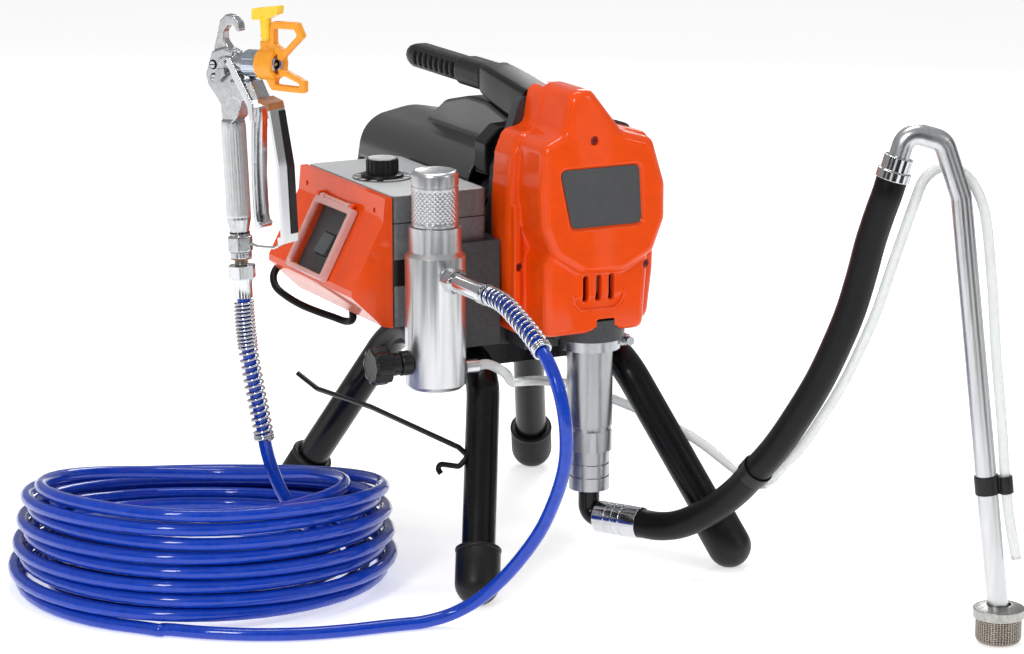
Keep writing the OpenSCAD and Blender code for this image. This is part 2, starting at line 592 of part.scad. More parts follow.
module foot_valve() color("#c2c5c9") at_pump() difference() {
    union() {
        translate([0, 0, valve_low]) cylinder(h = 38, d = valve_d - 3, $fn = 96);
        translate([0, 0, 103]) intersection() {
            cylinder(h = 19, d = valve_d + 2, $fn = 96);
            rotate([0, 0, 12]) hexagon(19, valve_flats + 2);
        }
        translate([0, 0, 121]) cylinder(h = cyl_low - 121, d = valve_d, $fn = 96);
    }
    for (z = [78, 90]) translate([0, 0, z]) difference() {
        cylinder(h = 1.6, d = valve_d + 2, $fn = 96);
        translate([0, 0, -1]) cylinder(h = 4, d = valve_d - 5.5, $fn = 96);
    }
    translate([0, 0, 118]) cylinder(h = 20, d = pump_d - 10 + 2*snug, $fn = 64);
    translate([0, 0, 100]) cylinder(h = 30, d = pump_bore - 2, $fn = 64);
    translate([0, 0, valve_low - 1]) cylinder(h = 50, d = 11, $fn = 48);
}
module check_ball() color("#d8dadd") at_pump() translate([0, 0, 100 + sqrt(81 - 30.25)]) sphere(d = 18, $fn = 48);
module outlet_elbow() color("#1f2022") at_pump() {
    a = [0, 0, valve_low];
    b = [0, 0, elbow_z];
    c = b + unit(outlet_dir)*17;
    pipe([a, b, c], 10, elbow_d, 0, 20, 5);
    translate([0, 0, valve_low - 7]) cylinder(h = 7, d = elbow_d + 9, $fn = 64);
}
module hose_ferrule() color("#c3c6ca") at_pump() multmatrix(aim([0, 0, elbow_z] + unit(outlet_dir)*12, outlet_dir)) {
    l = norm(suction_route[0] - [0, 0, elbow_z]) - 12;
    difference() {
        cylinder(h = l, d = ferrule_d, $fn = 96);
        translate([0, 0, -1]) cylinder(h = 1 + 5, d = elbow_d + 2*snug, $fn = 64);
        for (z = [12, 20, 28]) translate([0, 0, z]) difference() {
            cylinder(h = 2.4, d = ferrule_d + 2, $fn = 96);
            translate([0, 0, -1]) cylinder(h = 5, d = ferrule_d - 1.6, $fn = 96);
        }
    }
}

// ---------- suction set ----------
module suction_hose() color("#19191b") at_pump() tube(suction_route, suction_hose_d, 12);
nut_dir = unit(in_plane(3.5, 12) - in_plane(0, 0));
nut_at = suction_route[len(suction_route) - 1];
pipe_end = nut_at + nut_dir*nut_l;
module suction_nut() color("#c3c6ca") at_pump() multmatrix(aim(nut_at, nut_dir)) {
    cylinder(h = 8, d = suction_hose_d + 3, $fn = 64);
    translate([0, 0, 8]) cylinder(h = 12, d = suction_hose_d - 1, $fn = 32);
}
module suction_pipe() color("#d3d6da") at_pump() {
    p = [in_plane(0, mesh_h + 4), in_plane(-2, 40), in_plane(-42, 385), in_plane(-58, 432), pipe_end + nut_dir*22,
        pipe_end];
    pipe(p, pipe_bend, pipe_d, pipe_d - 2*pipe_wall, 20, 5);
}
module strainer_cap() color("#b7babe") at_pump() translate([strainer_at[0], strainer_at[1], mesh_h]) difference() {
    union() {
        cylinder(h = 8, d = strainer_cap_d, $fn = 96);
        translate([0, 0, 8]) cylinder(h = 3, d1 = strainer_cap_d, d2 = pipe_d + 10, $fn = 96);
    }
    translate([0, 0, -1]) cylinder(h = 20, d = pipe_d + 2.4, $fn = 64);
    translate([0, 0, -1]) cylinder(h = 6, d = mesh_d + 2*snug, $fn = 96);
}
module strainer_mesh() color("#6f7276") at_pump() translate([strainer_at[0], strainer_at[1], 0]) difference() {
    union() {
        translate([0, 0, 3]) cylinder(h = mesh_h + 2, d = mesh_d, $fn = 96);
        cylinder(h = 3, d1 = mesh_d - 4, d2 = mesh_d, $fn = 96);
    }
    translate([0, 0, 1.5]) cylinder(h = mesh_h + 10, d = mesh_d - 3, $fn = 96);
}
module clip_ring(at, way, d, h) multmatrix(aim(at - unit(way)*h/2, way)) difference() {
    cylinder(h = h, d = d + 3, $fn = 64);
    translate([0, 0, -1]) cylinder(h = h + 2, d = d + 2*gap, $fn = 64);
}
module hose_clips() color("#161617") at_pump() {
    way = suction_route[7] - suction_route[5];
    clip_ring(suction_route[6], way, suction_hose_d, 12);
    clip_ring(in_plane(-13.5, 139), [-0.103, 0.053, 1], pipe_d, 16);
}
module drain_tube() color("#e9edf0") at_pump() tube(drain_route, drain_d, 8);

// ---------- manifold ----------
module manifold_body() color("#cfd2d6") at_pump() translate([man_x, 0, 0]) difference() {
    union() {
        translate([0, 0, manifold_low]) cylinder(h = 4, d1 = manifold_d - 8, d2 = manifold_d, $fn = 96);
        translate([0, 0, manifold_low + 4]) cylinder(h = manifold_top - manifold_low - 4, d = manifold_d, $fn = 96);
        translate([0, 0, manifold_top]) cylinder(h = 4, d1 = manifold_d, d2 = cap_d + 5, $fn = 96);
        translate([0, 0, manifold_top + 4]) cylinder(h = 22, d = cap_d + 5, $fn = 96);
        rotate([90, 0, 0]) translate([0, outlet_z, manifold_d/2 - 4]) cylinder(h = 10, d = 17, $fn = 48);
        // drain valve stem
        translate([-manifold_d/2 + 4, 0, drain_z]) rotate([0, -90, 0]) hexagon(13, 17);
        translate([-manifold_d/2 + 4, 0, drain_z]) rotate([0, -90, 0]) cylinder(h = 26, d = 8, $fn = 48);
        // drain outlet
        translate([manifold_d/2 - 4, -12, 196]) rotate([0, 90, 0]) cylinder(h = 12, d = 12, $fn = 48);
    }
    translate([0, 0, manifold_low + 14]) cylinder(h = 200, d = filter_bore, $fn = 64);
    rotate([90, 0, 0]) translate([0, outlet_z, 0]) cylinder(h = 60, d = 8, $fn = 32);
}
module filter_cap() color("#d9dbdf") at_pump() translate([man_x, 0, manifold_top + 26 + snug]) {
    difference() {
        union() {
            cylinder(h = cap_h - 4, d = cap_d, $fn = 96);
            translate([0, 0, cap_h - 4]) cylinder(h = 3, d1 = cap_d, d2 = cap_d - 6, $fn = 96);
            translate([0, 0, -12]) cylinder(h = 13, d = filter_bore - 2*snug, $fn = 64);
        }
        translate([0, 0, -13]) cylinder(h = 30, d = 16, $fn = 48);
        translate([0, 0, 33]) difference() {
            cylinder(h = 1.2, d = cap_d + 2, $fn = 96);
            translate([0, 0, -1]) cylinder(h = 4, d = cap_d - 1.6, $fn = 96);
        }
    }
}
module filter_screen() color("#9a9da1") at_pump() translate([man_x, 0, manifold_low + 14]) difference() {
    cylinder(h = manifold_top - manifold_low - 14, d = 15, $fn = 48);
    translate([0, 0, 2]) cylinder(h = 200, d = 12, $fn = 48);
}
module outlet_fitting() color("#c3c6ca") at_pump() translate([man_x - 1, 0, outlet_z]) rotate([90, 0, 0]) {
    difference() {
        union() {
            translate([0, 0, manifold_d/2 + 6]) hexagon(15, 20);
            translate([0, 0, manifold_d/2 + 20]) cylinder(h = -sleeve_y - manifold_d/2 - 20, d = 17, $fn = 64);
            translate([0, 0, -sleeve_y - 12]) cylinder(h = 8, d = 19, $fn = 64);
        }
        translate([0, 0, manifold_d/2]) cylinder(h = 200, d = 8, $fn = 32);
    }
}
module prime_knob() color("#18181a") at_pump() translate([man_x - manifold_d/2 - 10 - gap, 0, drain_z]) rotate([0, -90, 0])
    difference() {
        union() {
            cylinder(h = 10, d = 20, $fn = 64);
            translate([0, 0, 10]) cylinder(h = 16, d = prime_knob_d - 3, $fn = 64);
            for (a = [0:30:330]) rotate([0, 0, a]) translate([prime_knob_d/2 - 2.6, 0, 10]) cylinder(h = 16, d = 5, $fn = 24);
        }
        translate([0, 0, -1]) cylinder(h = 14.2, d = 8 + 2*fit_gap, $fn = 48);
    }

// ---------- control box ----------
module box_body() color("#9ea1a5") at_pump() difference() {
    union() {
        translate([seam_x, box_y, box_z]) linear_extrude(37)
            polygon(rounded([[0, 0], [box_w, 0], [box_w, box_l], [0, box_l]], 6, 3));
        translate([seam_x + 2, box_y + 2, box_z + 37]) cube([box_w - 4, box_l - 4, 24]);
        translate([seam_x, box_y, box_z + 61]) linear_extrude(box_h - 61)
            polygon(rounded([[0, 0], [box_w, 0], [box_w, box_l], [0, box_l]], 6, 3));
        translate([knob_at[0], knob_at[1], box_z + box_h]) cylinder(h = 1, d = 54, $fn = 96);
    }
    translate([knob_at[0], knob_at[1], box_z + box_h - 20]) cylinder(h = 40, d = 8 + 2*fit_gap, $fn = 48);
    translate([seam_x + 6, box_y + 6, box_z + 8]) cube([box_w - 12, box_l - 12, box_h - 16]);
}
wedge = [[0, 0], [-2, 0], [-10, 2], [-wedge_deep, 31], [-wedge_deep, 37], [-9, 96], [-7, 118], [0, 118]];
module window_ears() on_slope(box_l/2, 0.5, 0) for (s = [-1, 1]) translate([window_top, s*36.8 + 2.5, 0])
    rotate([90, 0, 0]) difference() {
        union() {
            translate([0, window_out, 0]) cylinder(h = 5, d = 7, $fn = 48);
            translate([-3.5, -3, 0]) cube([7, window_out + 3, 5]);
        }
        translate([0, window_out, -1]) cylinder(h = 7, d = 3 + 2*fit_gap, $fn = 48);
    }
module box_cover() color("#f0461a") at_pump() {
    window_ears();
    wedge_shell();
}
module wedge_shell() translate([seam_x, box_y - 1, box_z]) difference() {
    translate([0, box_l + 2, 0]) rotate([90, 0, 0]) linear_extrude(box_l + 2) polygon(wedge);
    // hollow behind the sloping face
    translate([0, box_l - 3, 0]) rotate([90, 0, 0]) linear_extrude(box_l - 4)
        polygon([[1, 6], [-9, 6], [-wedge_deep + 5, 33], [-9, 86], [-4, 112], [1, 112]]);
    // window recess
    multmatrix(aim([-24, box_l/2, 65], [-46, 0, 24])) translate([0, 0, 2]) cube([77, 62, 14], center = true);
    for (y = [20, box_l - 16]) translate([-20, y, 104]) rotate([0, 90, 0]) cylinder(h = 30, d = 5, $fn = 32);
    multmatrix(aim([-24, box_l/2, 65], [-46, 0, 24])) translate([0, 0, -4]) cube([26, 30, 30], center = true);
}
slope = unit([-59, 0, 31]);
module on_slope(y, k, out) translate([seam_x - wedge_deep + k*31, box_y + y, box_z + 37 + k*59])
    rotate([0, -62.3, 0]) translate([0, 0, out]) children();
module box_panel() color("#333436") at_pump() on_slope(box_l/2, 0.47, -6) difference() {
    translate([-30, -37, 0]) cube([60, 74, 2]);
    translate([-13, -12 , -1]) cube([22, 24, 5]);
}
module power_rocker() color("#222224") at_pump() on_slope(box_l/2, 0.47, -4) translate([-2, 0, 0])
    rotate([90, 0, 0]) {
        translate([0, 0, -11.5]) linear_extrude(23) polygon([[-10, -3], [10, -3], [10, 1], [0, 2.5], [-10, 4]]);
        cylinder(h = 23.6, d = 3, center = true, $fn = 32);
    }
window_top = 36;
window_out = 4.2;
module box_window() color("#f3b9b4") at_pump() on_slope(box_l/2, 0.5, 0) {
    difference() {
        translate([-36, -41, 1]) cube([window_top + 35, 82, 6]);
        translate([-34, -39, 0]) cube([window_top + 31, 78, 5.2]);
        for (s = [-1, 1]) translate([window_top - 6, s*38.5 - 4.5, -1]) cube([10, 9, 10]);
    }
    translate([window_top, 33.7, window_out]) rotate([90, 0, 0]) cylinder(h = 67.4, d = 5, $fn = 48);
    translate([window_top, 38, window_out]) rotate([90, 0, 0]) cylinder(h = 76, d = 3, $fn = 48);
}
module pressure_knob() color("#151517") at_pump() translate([knob_at[0], knob_at[1], box_z + box_h + 1 + gap]) {
    cylinder(h = 2, d = knob_d + 4, $fn = 64);
    translate([0, 0, 2]) cylinder(h = knob_h - 2, d = knob_d - 2, $fn = 64);
    for (a = [0:20:340]) rotate([0, 0, a]) translate([knob_d/2 - 1.8, 0, 2]) cylinder(h = knob_h - 3, d = 3.4, $fn = 16);
    translate([0, 0, -16]) cylinder(h = 18, d = 8, $fn = 48);
}
module box_gland() color("#1a1a1c") at_pump() {
    translate([seam_x + 6, box_y + box_l, 256]) rotate([-90, 0, 0]) cylinder(h = 7, d = 11, $fn = 48);
    translate([seam_x + 10, 140, box_z - 6]) cylinder(h = 6, d = 13, $fn = 48);
}
module lead_loop() color("#161617") at_pump() tube(loop_route, 7, 8);

// ---------- gun ----------
module slab_y(t) rotate([90, 0, 0]) translate([0, 0, -t/2]) linear_extrude(t) children();
module gun_body() color("#c8cbcf") at_gun() difference() {
    union() {
        // fluted handle
        difference() {
            cylinder(h = grip_l, d = grip_d, $fn = 96);
            for (a = [0:22.5:337.5]) rotate([0, 0, a]) translate([grip_d/2 + 0.6, 0, 5])
                cylinder(h = grip_l - 10, d = 3, $fn = 24);
        }
        translate([0, 0, -12]) cylinder(h = 12, d1 = 16, d2 = grip_d, $fn = 64);
        // head
        slab_y(gun_t) polygon(rounded([[-6, 86], [5, 86], [10.6, 90], [16.7, 104], [9.4, 125], [9.4, 147], [0, 150],
            [-13, 147], [-21.6, 126], [-19.2, 117], [-11.8, 108], [-7, 101]], 2, 3));
        // hanging hook
        slab_y(8) polygon(rounded([[-13, 145], [3, 146], [2.5, 151], [-2, 157], [-1.5, 165], [4, 170], [10, 169],
            [12.5, 164], [16.5, 164.5], [15.5, 172], [9.5, 178], [2, 179], [-5, 173.5], [-9.5, 160], [-13.5, 149]], 1.8, 3));
        // barrel behind the nut
        translate([4, 0, guard_mid]) rotate([0, 90, 0]) cylinder(h = nut_x - 4, d = 18, $fn = 64);
        // swivel neck under the handle
        translate([0, 0, -28]) hexagon(13, 20);
        translate([0, 0, -15.2]) cylinder(h = 3.4, d = 18, $fn = 64);
        translate([0, 0, -34]) cylinder(h = 6.2, d = 19, $fn = 64);
        translate([0, 0, -52]) cylinder(h = 19, d = 11, $fn = 48);
        // trigger pivot and the heads of its screw
        trigger_axis(gun_t + 9, 3.2);
        for (s = [-1, 1]) translate([0, s*(gun_t/2 + 4.5), 0]) trigger_axis(1.5, 7);
        // slanted block under the nut
        slab_y(gun_t + 2) polygon(rounded([[6, 122], [28.5, 122.5], [36, 107], [16, 104.5], [8, 108]], 1, 3));
    }
    translate([0, 0, -53]) cylinder(h = 120, d = 6, $fn = 32);
    lock_axis(40, 4 + 2*fit_gap);
    translate([0, gun_t/2 + 1, 0]) slab_y(3) polygon(rounded([[-17, 128], [-7, 131], [-5, 114], [-12, 112]], 2, 3));
}
nut_x = 20.6;
module gun_nut() color("#c9d1dc") at_gun() translate([nut_x + snug, 0, guard_mid]) rotate([0, 90, 0]) difference() {
    union() {
        cylinder(h = 15.4, d = 23, $fn = 64);
        for (a = [0:30:330]) rotate([0, 0, a]) translate([10.5, 0, 1]) cylinder(h = 12, d = 3, $fn = 16);
    }
    translate([0, 0, -1]) cylinder(h = 20, d = 8, $fn = 32);
}
trigger_pivot = [1, 139];
module trigger_axis(l, d) translate([trigger_pivot[0], 0, trigger_pivot[1]]) rotate([90, 0, 0])
    cylinder(h = l, d = d, center = true, $fn = 48);
trigger_wide = gun_t + 6.8;
module gun_trigger() color("#d5d8dc") at_gun() difference() {
    union() {
        trigger_axis(trigger_wide, 9);
        slab_y(trigger_wide) polygon([[1, 143.5], [9, 143], [31.5, 103], [31.5, 88], [27, 88], [25, 101], [5, 135]]);
        slab_y(17) polygon(rounded([[28, 100], [31.5, 100], [31.5, 86], [28, 40], [27.5, 2], [31.5, -2], [29, -6],
            [24, -5.5], [23.8, 40], [27.5, 86]], 1.4, 3));
    }
    slab_y(trigger_wide - 3.2) polygon([[-12, 152], [12, 152], [40, 104], [28.4, 98], [27, 88], [-12, 60]]);
    trigger_axis(60, 3.2 + 2*fit_gap);
}
module trigger_guard() color("#ccd0d4") at_gun() {
    slab_y(20) polygon([[36.2, 108], [36.2, 104.6], [45.5, 102], [47, 96], [53.3, 49], [53.5, -11], [50, -12],
        [50, -18], [56.4, -17], [56.3, 49], [49.6, 98], [48, 104]]);
    tube(rounded_path([[11.9, 0, -21], [20, 0, -23], [38, 0, -23], [52, 0, -16]], 4, 3), 2.6, 8);
}
lock_pivot = [0.5, 129.6];
module lock_axis(l, d) translate([lock_pivot[0], 0, lock_pivot[1]]) rotate([90, 0, 0])
    translate([0, 0, trigger_wide/2 + gap + 2.4 - l]) cylinder(h = l, d = d, $fn = 32);
module trigger_lock() color("#8b8e92") at_gun() {
    lock_axis(14, 4);
    translate([0, -trigger_wide/2 - gap - 1.2, 0]) slab_y(2.4)
        polygon(rounded([[-4, 133], [4, 133.5], [5, 128], [1, 125.5], [-7, 118.5], [-9, 120.5]], 1.5, 3));
}
tip_x = 42.5;
guard_mid = 137;   // the tip guard turns about this height
module tip_guard() color("#f5a92f") at_gun() {
    difference() {
        union() {
            translate([nut_x + 15.5 + gap, 0, guard_mid]) rotate([0, 90, 0]) cylinder(h = 17.6, d = 27, $fn = 64);
            translate([tip_x, 0, guard_mid]) cylinder(h = 20, d = 12, $fn = 48);
            slab_y(wing_t) polygon(rounded([[47.6, 150], [49.2, 168], [51.6, 174], [78.4, 173.4], [83.8, 161.8],
                [62, 143.6], [60, 137], [62, 132.3], [83, 123.7], [82, 113.2], [47, 114.9], [41, 124], [38, 134], [40, 148]],
                2, 3));
        }
        slab_y(60) polygon(rounded([[52.6, 155], [53.1, 168], [75, 167.5], [78, 162.5], [62, 149]], 1.5, 3));
        slab_y(60) polygon(rounded([[50.5, 120], [52.5, 125.5], [62, 127.3], [77.5, 121.5], [77, 118.5]], 1, 3));
        translate([tip_x, 0, guard_mid - 9 - gap]) cylinder(h = 60, d = tip_d + 2*fit_gap, $fn = 48);
        translate([tip_x, 0, guard_mid]) rotate([0, 90, 0]) cylinder(h = 30, d = 10, $fn = 48);
        translate([47.5, 0, guard_mid]) rotate([0, 90, 0]) cylinder(h = 8, d1 = 10, d2 = 20, $fn = 48);
        translate([30, 0, guard_mid]) rotate([0, 90, 0]) cylinder(h = 12, d = 7, $fn = 48);
    }
}
module spray_tip() color("#ffd83a") at_gun() {
    difference() {
        union() {
            translate([tip_x, 0, guard_mid - 9]) cylinder(h = 42, d = tip_d, $fn = 48);
            translate([tip_x, 0, 160]) cylinder(h = 18, d = tip_d + 1, $fn = 48);
            translate([tip_x, 0, 160]) cylinder(h = 2, d = tip_d + 2, $fn = 48);
            slab_y(9) polygon(rounded([[30.5, 175], [31, 184.5], [60, 187.5], [58.5, 180.5], [46, 175.5]], 1.2, 3));
        }
        translate([tip_x - 10, 0, guard_mid]) rotate([0, 90, 0]) cylinder(h = 20, d = 1.6, $fn = 16);
    }
}
module hose_swivel() color("#c0c3c7") at_gun() difference() {
    union() {
        translate([0, 0, -52]) hexagon(11.4, 22);
        translate([0, 0, -58]) cylinder(h = 8, d1 = 16, d2 = 20, $fn = 64);
        translate([0, 0, -69.6]) cylinder(h = 13, d = 16.5, $fn = 64);
    }
    translate([0, 0, -53]) cylinder(h = 20, d = 11 + 2*fit_gap, $fn = 48);
}

// ---------- hose ----------
// place along a route after the length s, by a smooth curve through its points
function reach(p) = [for (i = 0, s = 0; i < len(p); s = s + (i < len(p) - 1 ? norm(p[i + 1] - p[i]) : 0), i = i + 1) s];
function curve(p, i, k) = let (a = p[max(i - 1, 0)], b = p[i], c = p[i + 1], d = p[min(i + 2, len(p) - 1)])
    (2*b + (c - a)*k + (2*a - 5*b + 4*c - d)*k*k + (3*b - a - 3*c + d)*k*k*k)/2;
function after(p, w, s) = let (i = max([0, for (j = [0:len(w) - 2]) if (w[j] <= s) j]))
    curve(p, i, min(1, (s - w[i])/(w[i + 1] - w[i])));
// wire wound round a route: tight turns first, then open turns
function guard_points(p, w, s0, tight, tight_pitch, open, open_pitch, flip) =
    let (all = tight + open, d0 = guard_wire, count = all*8)
    [for (j = [-1:count + 1]) let (n = min(max(j, 0), count)/8,
        s = s0 + d0 + min(n, tight)*tight_pitch + max(n - tight, 0)*open_pitch
            + (j < 0 ? -d0 : j > count ? d0 : 0),
        c = after(p, w, s), t = unit(after(p, w, s + 1) - after(p, w, s - 1 < 0 ? 0 : s - 1)),
        e = unit(cross([1, 0, 0], t)), f = cross(t, e))
        c + guard_d/2*(cos(360*n)*e + flip*sin(360*n)*f)];
outlet_guard = guard_points(lead_route, reach(lead_route), 0.2, 0, 4, 14, 7, 1);
tail_up = [for (i = [len(tail_route) - 1:-1:0]) tail_route[i]];
gun_guard = guard_points(tail_up, reach(tail_up), 0.2, 13, 3.4, 13, 6.2, 1);
module outlet_spring() color("#d0d3d7") at_pump() tube(outlet_guard, guard_wire, 6);
module gun_spring() color("#d0d3d7") at_pump() tube(gun_guard, guard_wire, 6);

coil_mid = [-342, 96];
coil_back = 63;    // direction of the flatter side
coil_shift = 0.055; // how far the coil leans to the side as it rises
turn_0 = 13/24;
turn_1 = 207/24;
turn_2 = 219/24;
turn_3 = 237/24;
turn_4 = 363/24;
last_turn = 12;
function stack(n) = n < turn_2 ? n - turn_0 : n < turn_3
    ? lerp(turn_2 - turn_0, turn_4 - turn_3, (n - turn_2)/(turn_3 - turn_2)) : turn_4 - n;
function loop_radius(n) = (n < turn_2
    ? loop_r - loop_lean*(n - turn_0) - loop_step*smooth((n - turn_1)/(turn_2 - turn_1))
    : loop_r - loop_lean*(turn_2 - turn_0) - loop_step + loop_lean*(turn_2 - turn_0 - stack(n)))
    + loop_slip*cos(180*n);
function loop_point(n) = let (a = coil_back - 360*n, slip = max(0, 2*loop_slip*abs(cos(180*n)) - loop_lean - 0.8),
    rise = sqrt(loop_pitch*loop_pitch - slip*slip)*stack(n))
    [coil_mid[0] + rise*coil_shift + loop_radius(n)*cos(a), coil_mid[1] + loop_radius(n)*sin(a), hose_d/2 + rise];
loops = [for (j = [0:24*(turn_4 - turn_0)]) loop_point(turn_0 + j/24)];
ends = [len(loops) - 2, len(loops) - 1];
first_way = unit(flat3(loops[0] - loops[1]));
last_chord = unit(flat3(loops[ends[1]] - loops[ends[0]]));
// the hose leaves the coil turned inward, clear of the loop above
last_way = [last_chord[0]*cos(last_turn) + last_chord[1]*sin(last_turn),
    last_chord[1]*cos(last_turn) - last_chord[0]*sin(last_turn), 0];
// the coil runs straight for one diameter at each end, where the lead and the tail meet it
coil_points = concat([loops[0] + hose_d*first_way], loops, [loops[ends[1]] + hose_d*last_way]);
lead_path = concat(lead_route, [coil_points[0] + hose_d*first_way, coil_points[0]]);
tail_path = concat([coil_points[len(coil_points) - 1], coil_points[len(coil_points) - 1] + hose_d/2*last_way],
    tail_route);
module hose_lead() color("#0a36b8") at_pump() tube(lead_path, hose_d, 8);
module hose_coil() color("#0a36b8") at_pump() tube(coil_points, hose_d, 6);
module hose_tail() color("#0a36b8") at_pump() tube(tail_path, hose_d, 8);
function least_gap(p, d, skip) = min([for (i = [0:len(p) - 1], j = [i + skip:1:len(p) - 1]) norm(p[i] - p[j])]) - d;
function route_length(p) = reach(p)[len(p) - 1];
echo(coil_gap = least_gap(coil_points, hose_d, 12), outlet_gap = least_gap(outlet_guard, guard_wire, 5),
    gun_gap = least_gap(gun_guard, guard_wire, 5),
    hose_length = route_length(lead_path) + route_length(coil_points) + route_length(tail_path),
    coil_start = coil_points[0], coil_end = coil_points[len(coil_points) - 1]);

left_leg();
right_leg();
cross_bars();
foot_cap_fl();
foot_cap_fr();
foot_cap_rl();
foot_cap_rr();
pail_hook();
drive_housing();
front_cover();
label_plate();
cover_screws();
motor_can();
motor_shroud();
shroud_bracket();
handle_neck();
handle_grip();
rotor();
crank_gear();
shaft_bearings();
connecting_rod();
pump_cylinder();
lock_nut();
foot_valve();
check_ball();
outlet_elbow();
hose_ferrule();
suction_hose();
suction_nut();
suction_pipe();
strainer_cap();
strainer_mesh();
hose_clips();
drain_tube();
manifold_body();
filter_cap();
filter_screen();
outlet_fitting();
prime_knob();
box_body();
box_cover();
box_window();
box_panel();
power_rocker();
pressure_knob();
box_gland();
lead_loop();
gun_body();
gun_nut();
gun_trigger();
trigger_guard();
trigger_lock();
tip_guard();
spray_tip();
hose_swivel();
outlet_spring();
gun_spring();
hose_lead();
hose_coil();
hose_tail();
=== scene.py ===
import json
import math

import bmesh
import bpy
import numpy as np
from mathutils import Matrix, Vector

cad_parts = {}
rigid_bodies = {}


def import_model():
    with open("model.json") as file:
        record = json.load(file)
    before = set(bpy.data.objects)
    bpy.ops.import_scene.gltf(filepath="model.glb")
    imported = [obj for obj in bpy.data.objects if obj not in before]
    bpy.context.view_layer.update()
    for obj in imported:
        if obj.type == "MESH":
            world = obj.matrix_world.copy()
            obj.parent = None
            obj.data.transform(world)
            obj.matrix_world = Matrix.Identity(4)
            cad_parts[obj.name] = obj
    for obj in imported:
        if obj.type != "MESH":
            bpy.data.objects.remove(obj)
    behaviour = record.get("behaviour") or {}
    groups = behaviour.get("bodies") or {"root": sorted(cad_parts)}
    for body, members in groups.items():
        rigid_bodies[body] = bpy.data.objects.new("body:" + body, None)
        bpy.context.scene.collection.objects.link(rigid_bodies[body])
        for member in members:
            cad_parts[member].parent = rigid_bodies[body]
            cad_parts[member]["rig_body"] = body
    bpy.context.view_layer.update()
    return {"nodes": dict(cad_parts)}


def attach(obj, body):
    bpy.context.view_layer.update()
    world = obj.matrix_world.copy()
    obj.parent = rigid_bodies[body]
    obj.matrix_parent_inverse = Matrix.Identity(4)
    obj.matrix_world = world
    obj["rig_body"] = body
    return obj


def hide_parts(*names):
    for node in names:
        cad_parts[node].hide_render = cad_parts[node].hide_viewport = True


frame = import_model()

NODES = frame["nodes"]
MM = 0.001
PUMP = np.array([66.0, 39.0, 0.0])      # the machine's own origin, under the pump, in the shared frame, in mm
scene = bpy.context.scene


# ---------- camera and light ----------
FOCAL_PX, PICTURE_PX = 3600, 1024       # focal length and picture width in pixels, read off the photo
SENSOR = 36
camera_data = bpy.data.cameras.new("camera")
camera_data.lens = FOCAL_PX * SENSOR / PICTURE_PX
camera_data.sensor_width = SENSOR
camera_data.clip_end = 60
camera = bpy.data.objects.new("camera", camera_data)
camera.location = (-1.4389, -2.7594, 0.9496)
camera.rotation_euler = (math.radians(77), 0, math.radians(-27))
scene.collection.objects.link(camera)
scene.camera = camera
scene.view_settings.view_transform = "Standard"


# ---------- lines, outlines and directions ----------
def world(p):
    """Point in the machine's frame, in mm, as a point of the scene."""
    return (np.asarray(p, float) + PUMP) * MM


def unit(v):
    v = np.asarray(v, float)
    return v / np.linalg.norm(v)


def smooth(k):
    """Eased step from 0 to 1."""
    k = min(max(k, 0.0), 1.0)
    return k * k * (3 - 2 * k)


def aside(w):
    """Direction square to w, level where w isn't steep."""
    return unit(np.cross([0, 0, 1], w)) if abs(w[2]) < 0.9 else unit(np.cross([1, 0, 0], w))


def axes(way):
    """Three directions square to each other, the last one along way."""
    z = unit(way)
    x = aside(z)
    return x, np.cross(z, x), z


def circle(at, x, y, radius, sides):
    """Points round at, in the plane of the directions x and y."""
    angles = [2 * math.pi * k / sides for k in range(sides)]
    return [at + radius * (math.cos(a) * x + math.sin(a) * y) for a in angles]


def lengths(line):
    """Length of the line up to each of its points."""
    line = np.asarray(line, float)
    return np.concatenate([[0], np.cumsum(np.linalg.norm(np.diff(line, axis=0), axis=1))])


def spline(knots, steps):
    """Smooth line through the knots, centripetal, with steps points to a stretch."""
    p = [np.asarray(k, float) for k in knots]
    p = [2 * p[0] - p[1]] + p + [2 * p[-1] - p[-2]]
    line = []
    for i in range(1, len(p) - 2):
        a, b, c, d = p[i - 1:i + 3]
        t = [0.0]
        for u, v in ((a, b), (b, c), (c, d)):
            t.append(t[-1] + math.sqrt(np.linalg.norm(v - u)))
        for j in range(steps):
            x = t[1] + (t[2] - t[1]) * j / steps
            q = [a * (t[1] - x) / (t[1] - t[0]) + b * (x - t[0]) / (t[1] - t[0]),
                 b * (t[2] - x) / (t[2] - t[1]) + c * (x - t[1]) / (t[2] - t[1]),
                 c * (t[3] - x) / (t[3] - t[2]) + d * (x - t[2]) / (t[3] - t[2])]
            r = [q[0] * (t[2] - x) / (t[2] - t[0]) + q[1] * (x - t[0]) / (t[2] - t[0]),
                 q[1] * (t[3] - x) / (t[3] - t[1]) + q[2] * (x - t[1]) / (t[3] - t[1])]
            line.append(r[0] * (t[2] - x) / (t[2] - t[1]) + r[1] * (x - t[1]) / (t[2] - t[1]))
    line.append(p[-2])
    return line


def rounded(corners, radius, steps):
    """Line through corner points, each rounded into an arc."""
    p = [np.asarray(c, float) for c in corners]
    line = [p[0]]
    for a, b, c in zip(p, p[1:], p[2:]):
        u, v = unit(b - a), unit(c - b)
        h = math.acos(float(np.clip(u @ v, -1, 1)))
        t = radius * math.tan(h / 2)
        m = unit(v - u * (u @ v))
        line += [b - u * t + radius * (math.sin(h * j / steps) * u + (1 - math.cos(h * j / steps)) * m)
                 for j in range(steps + 1)]
    return line + [p[-1]]


def box_corners(x0, x1, y0, y1):
    return [(x0, y0), (x1, y0), (x1, y1), (x0, y1)]


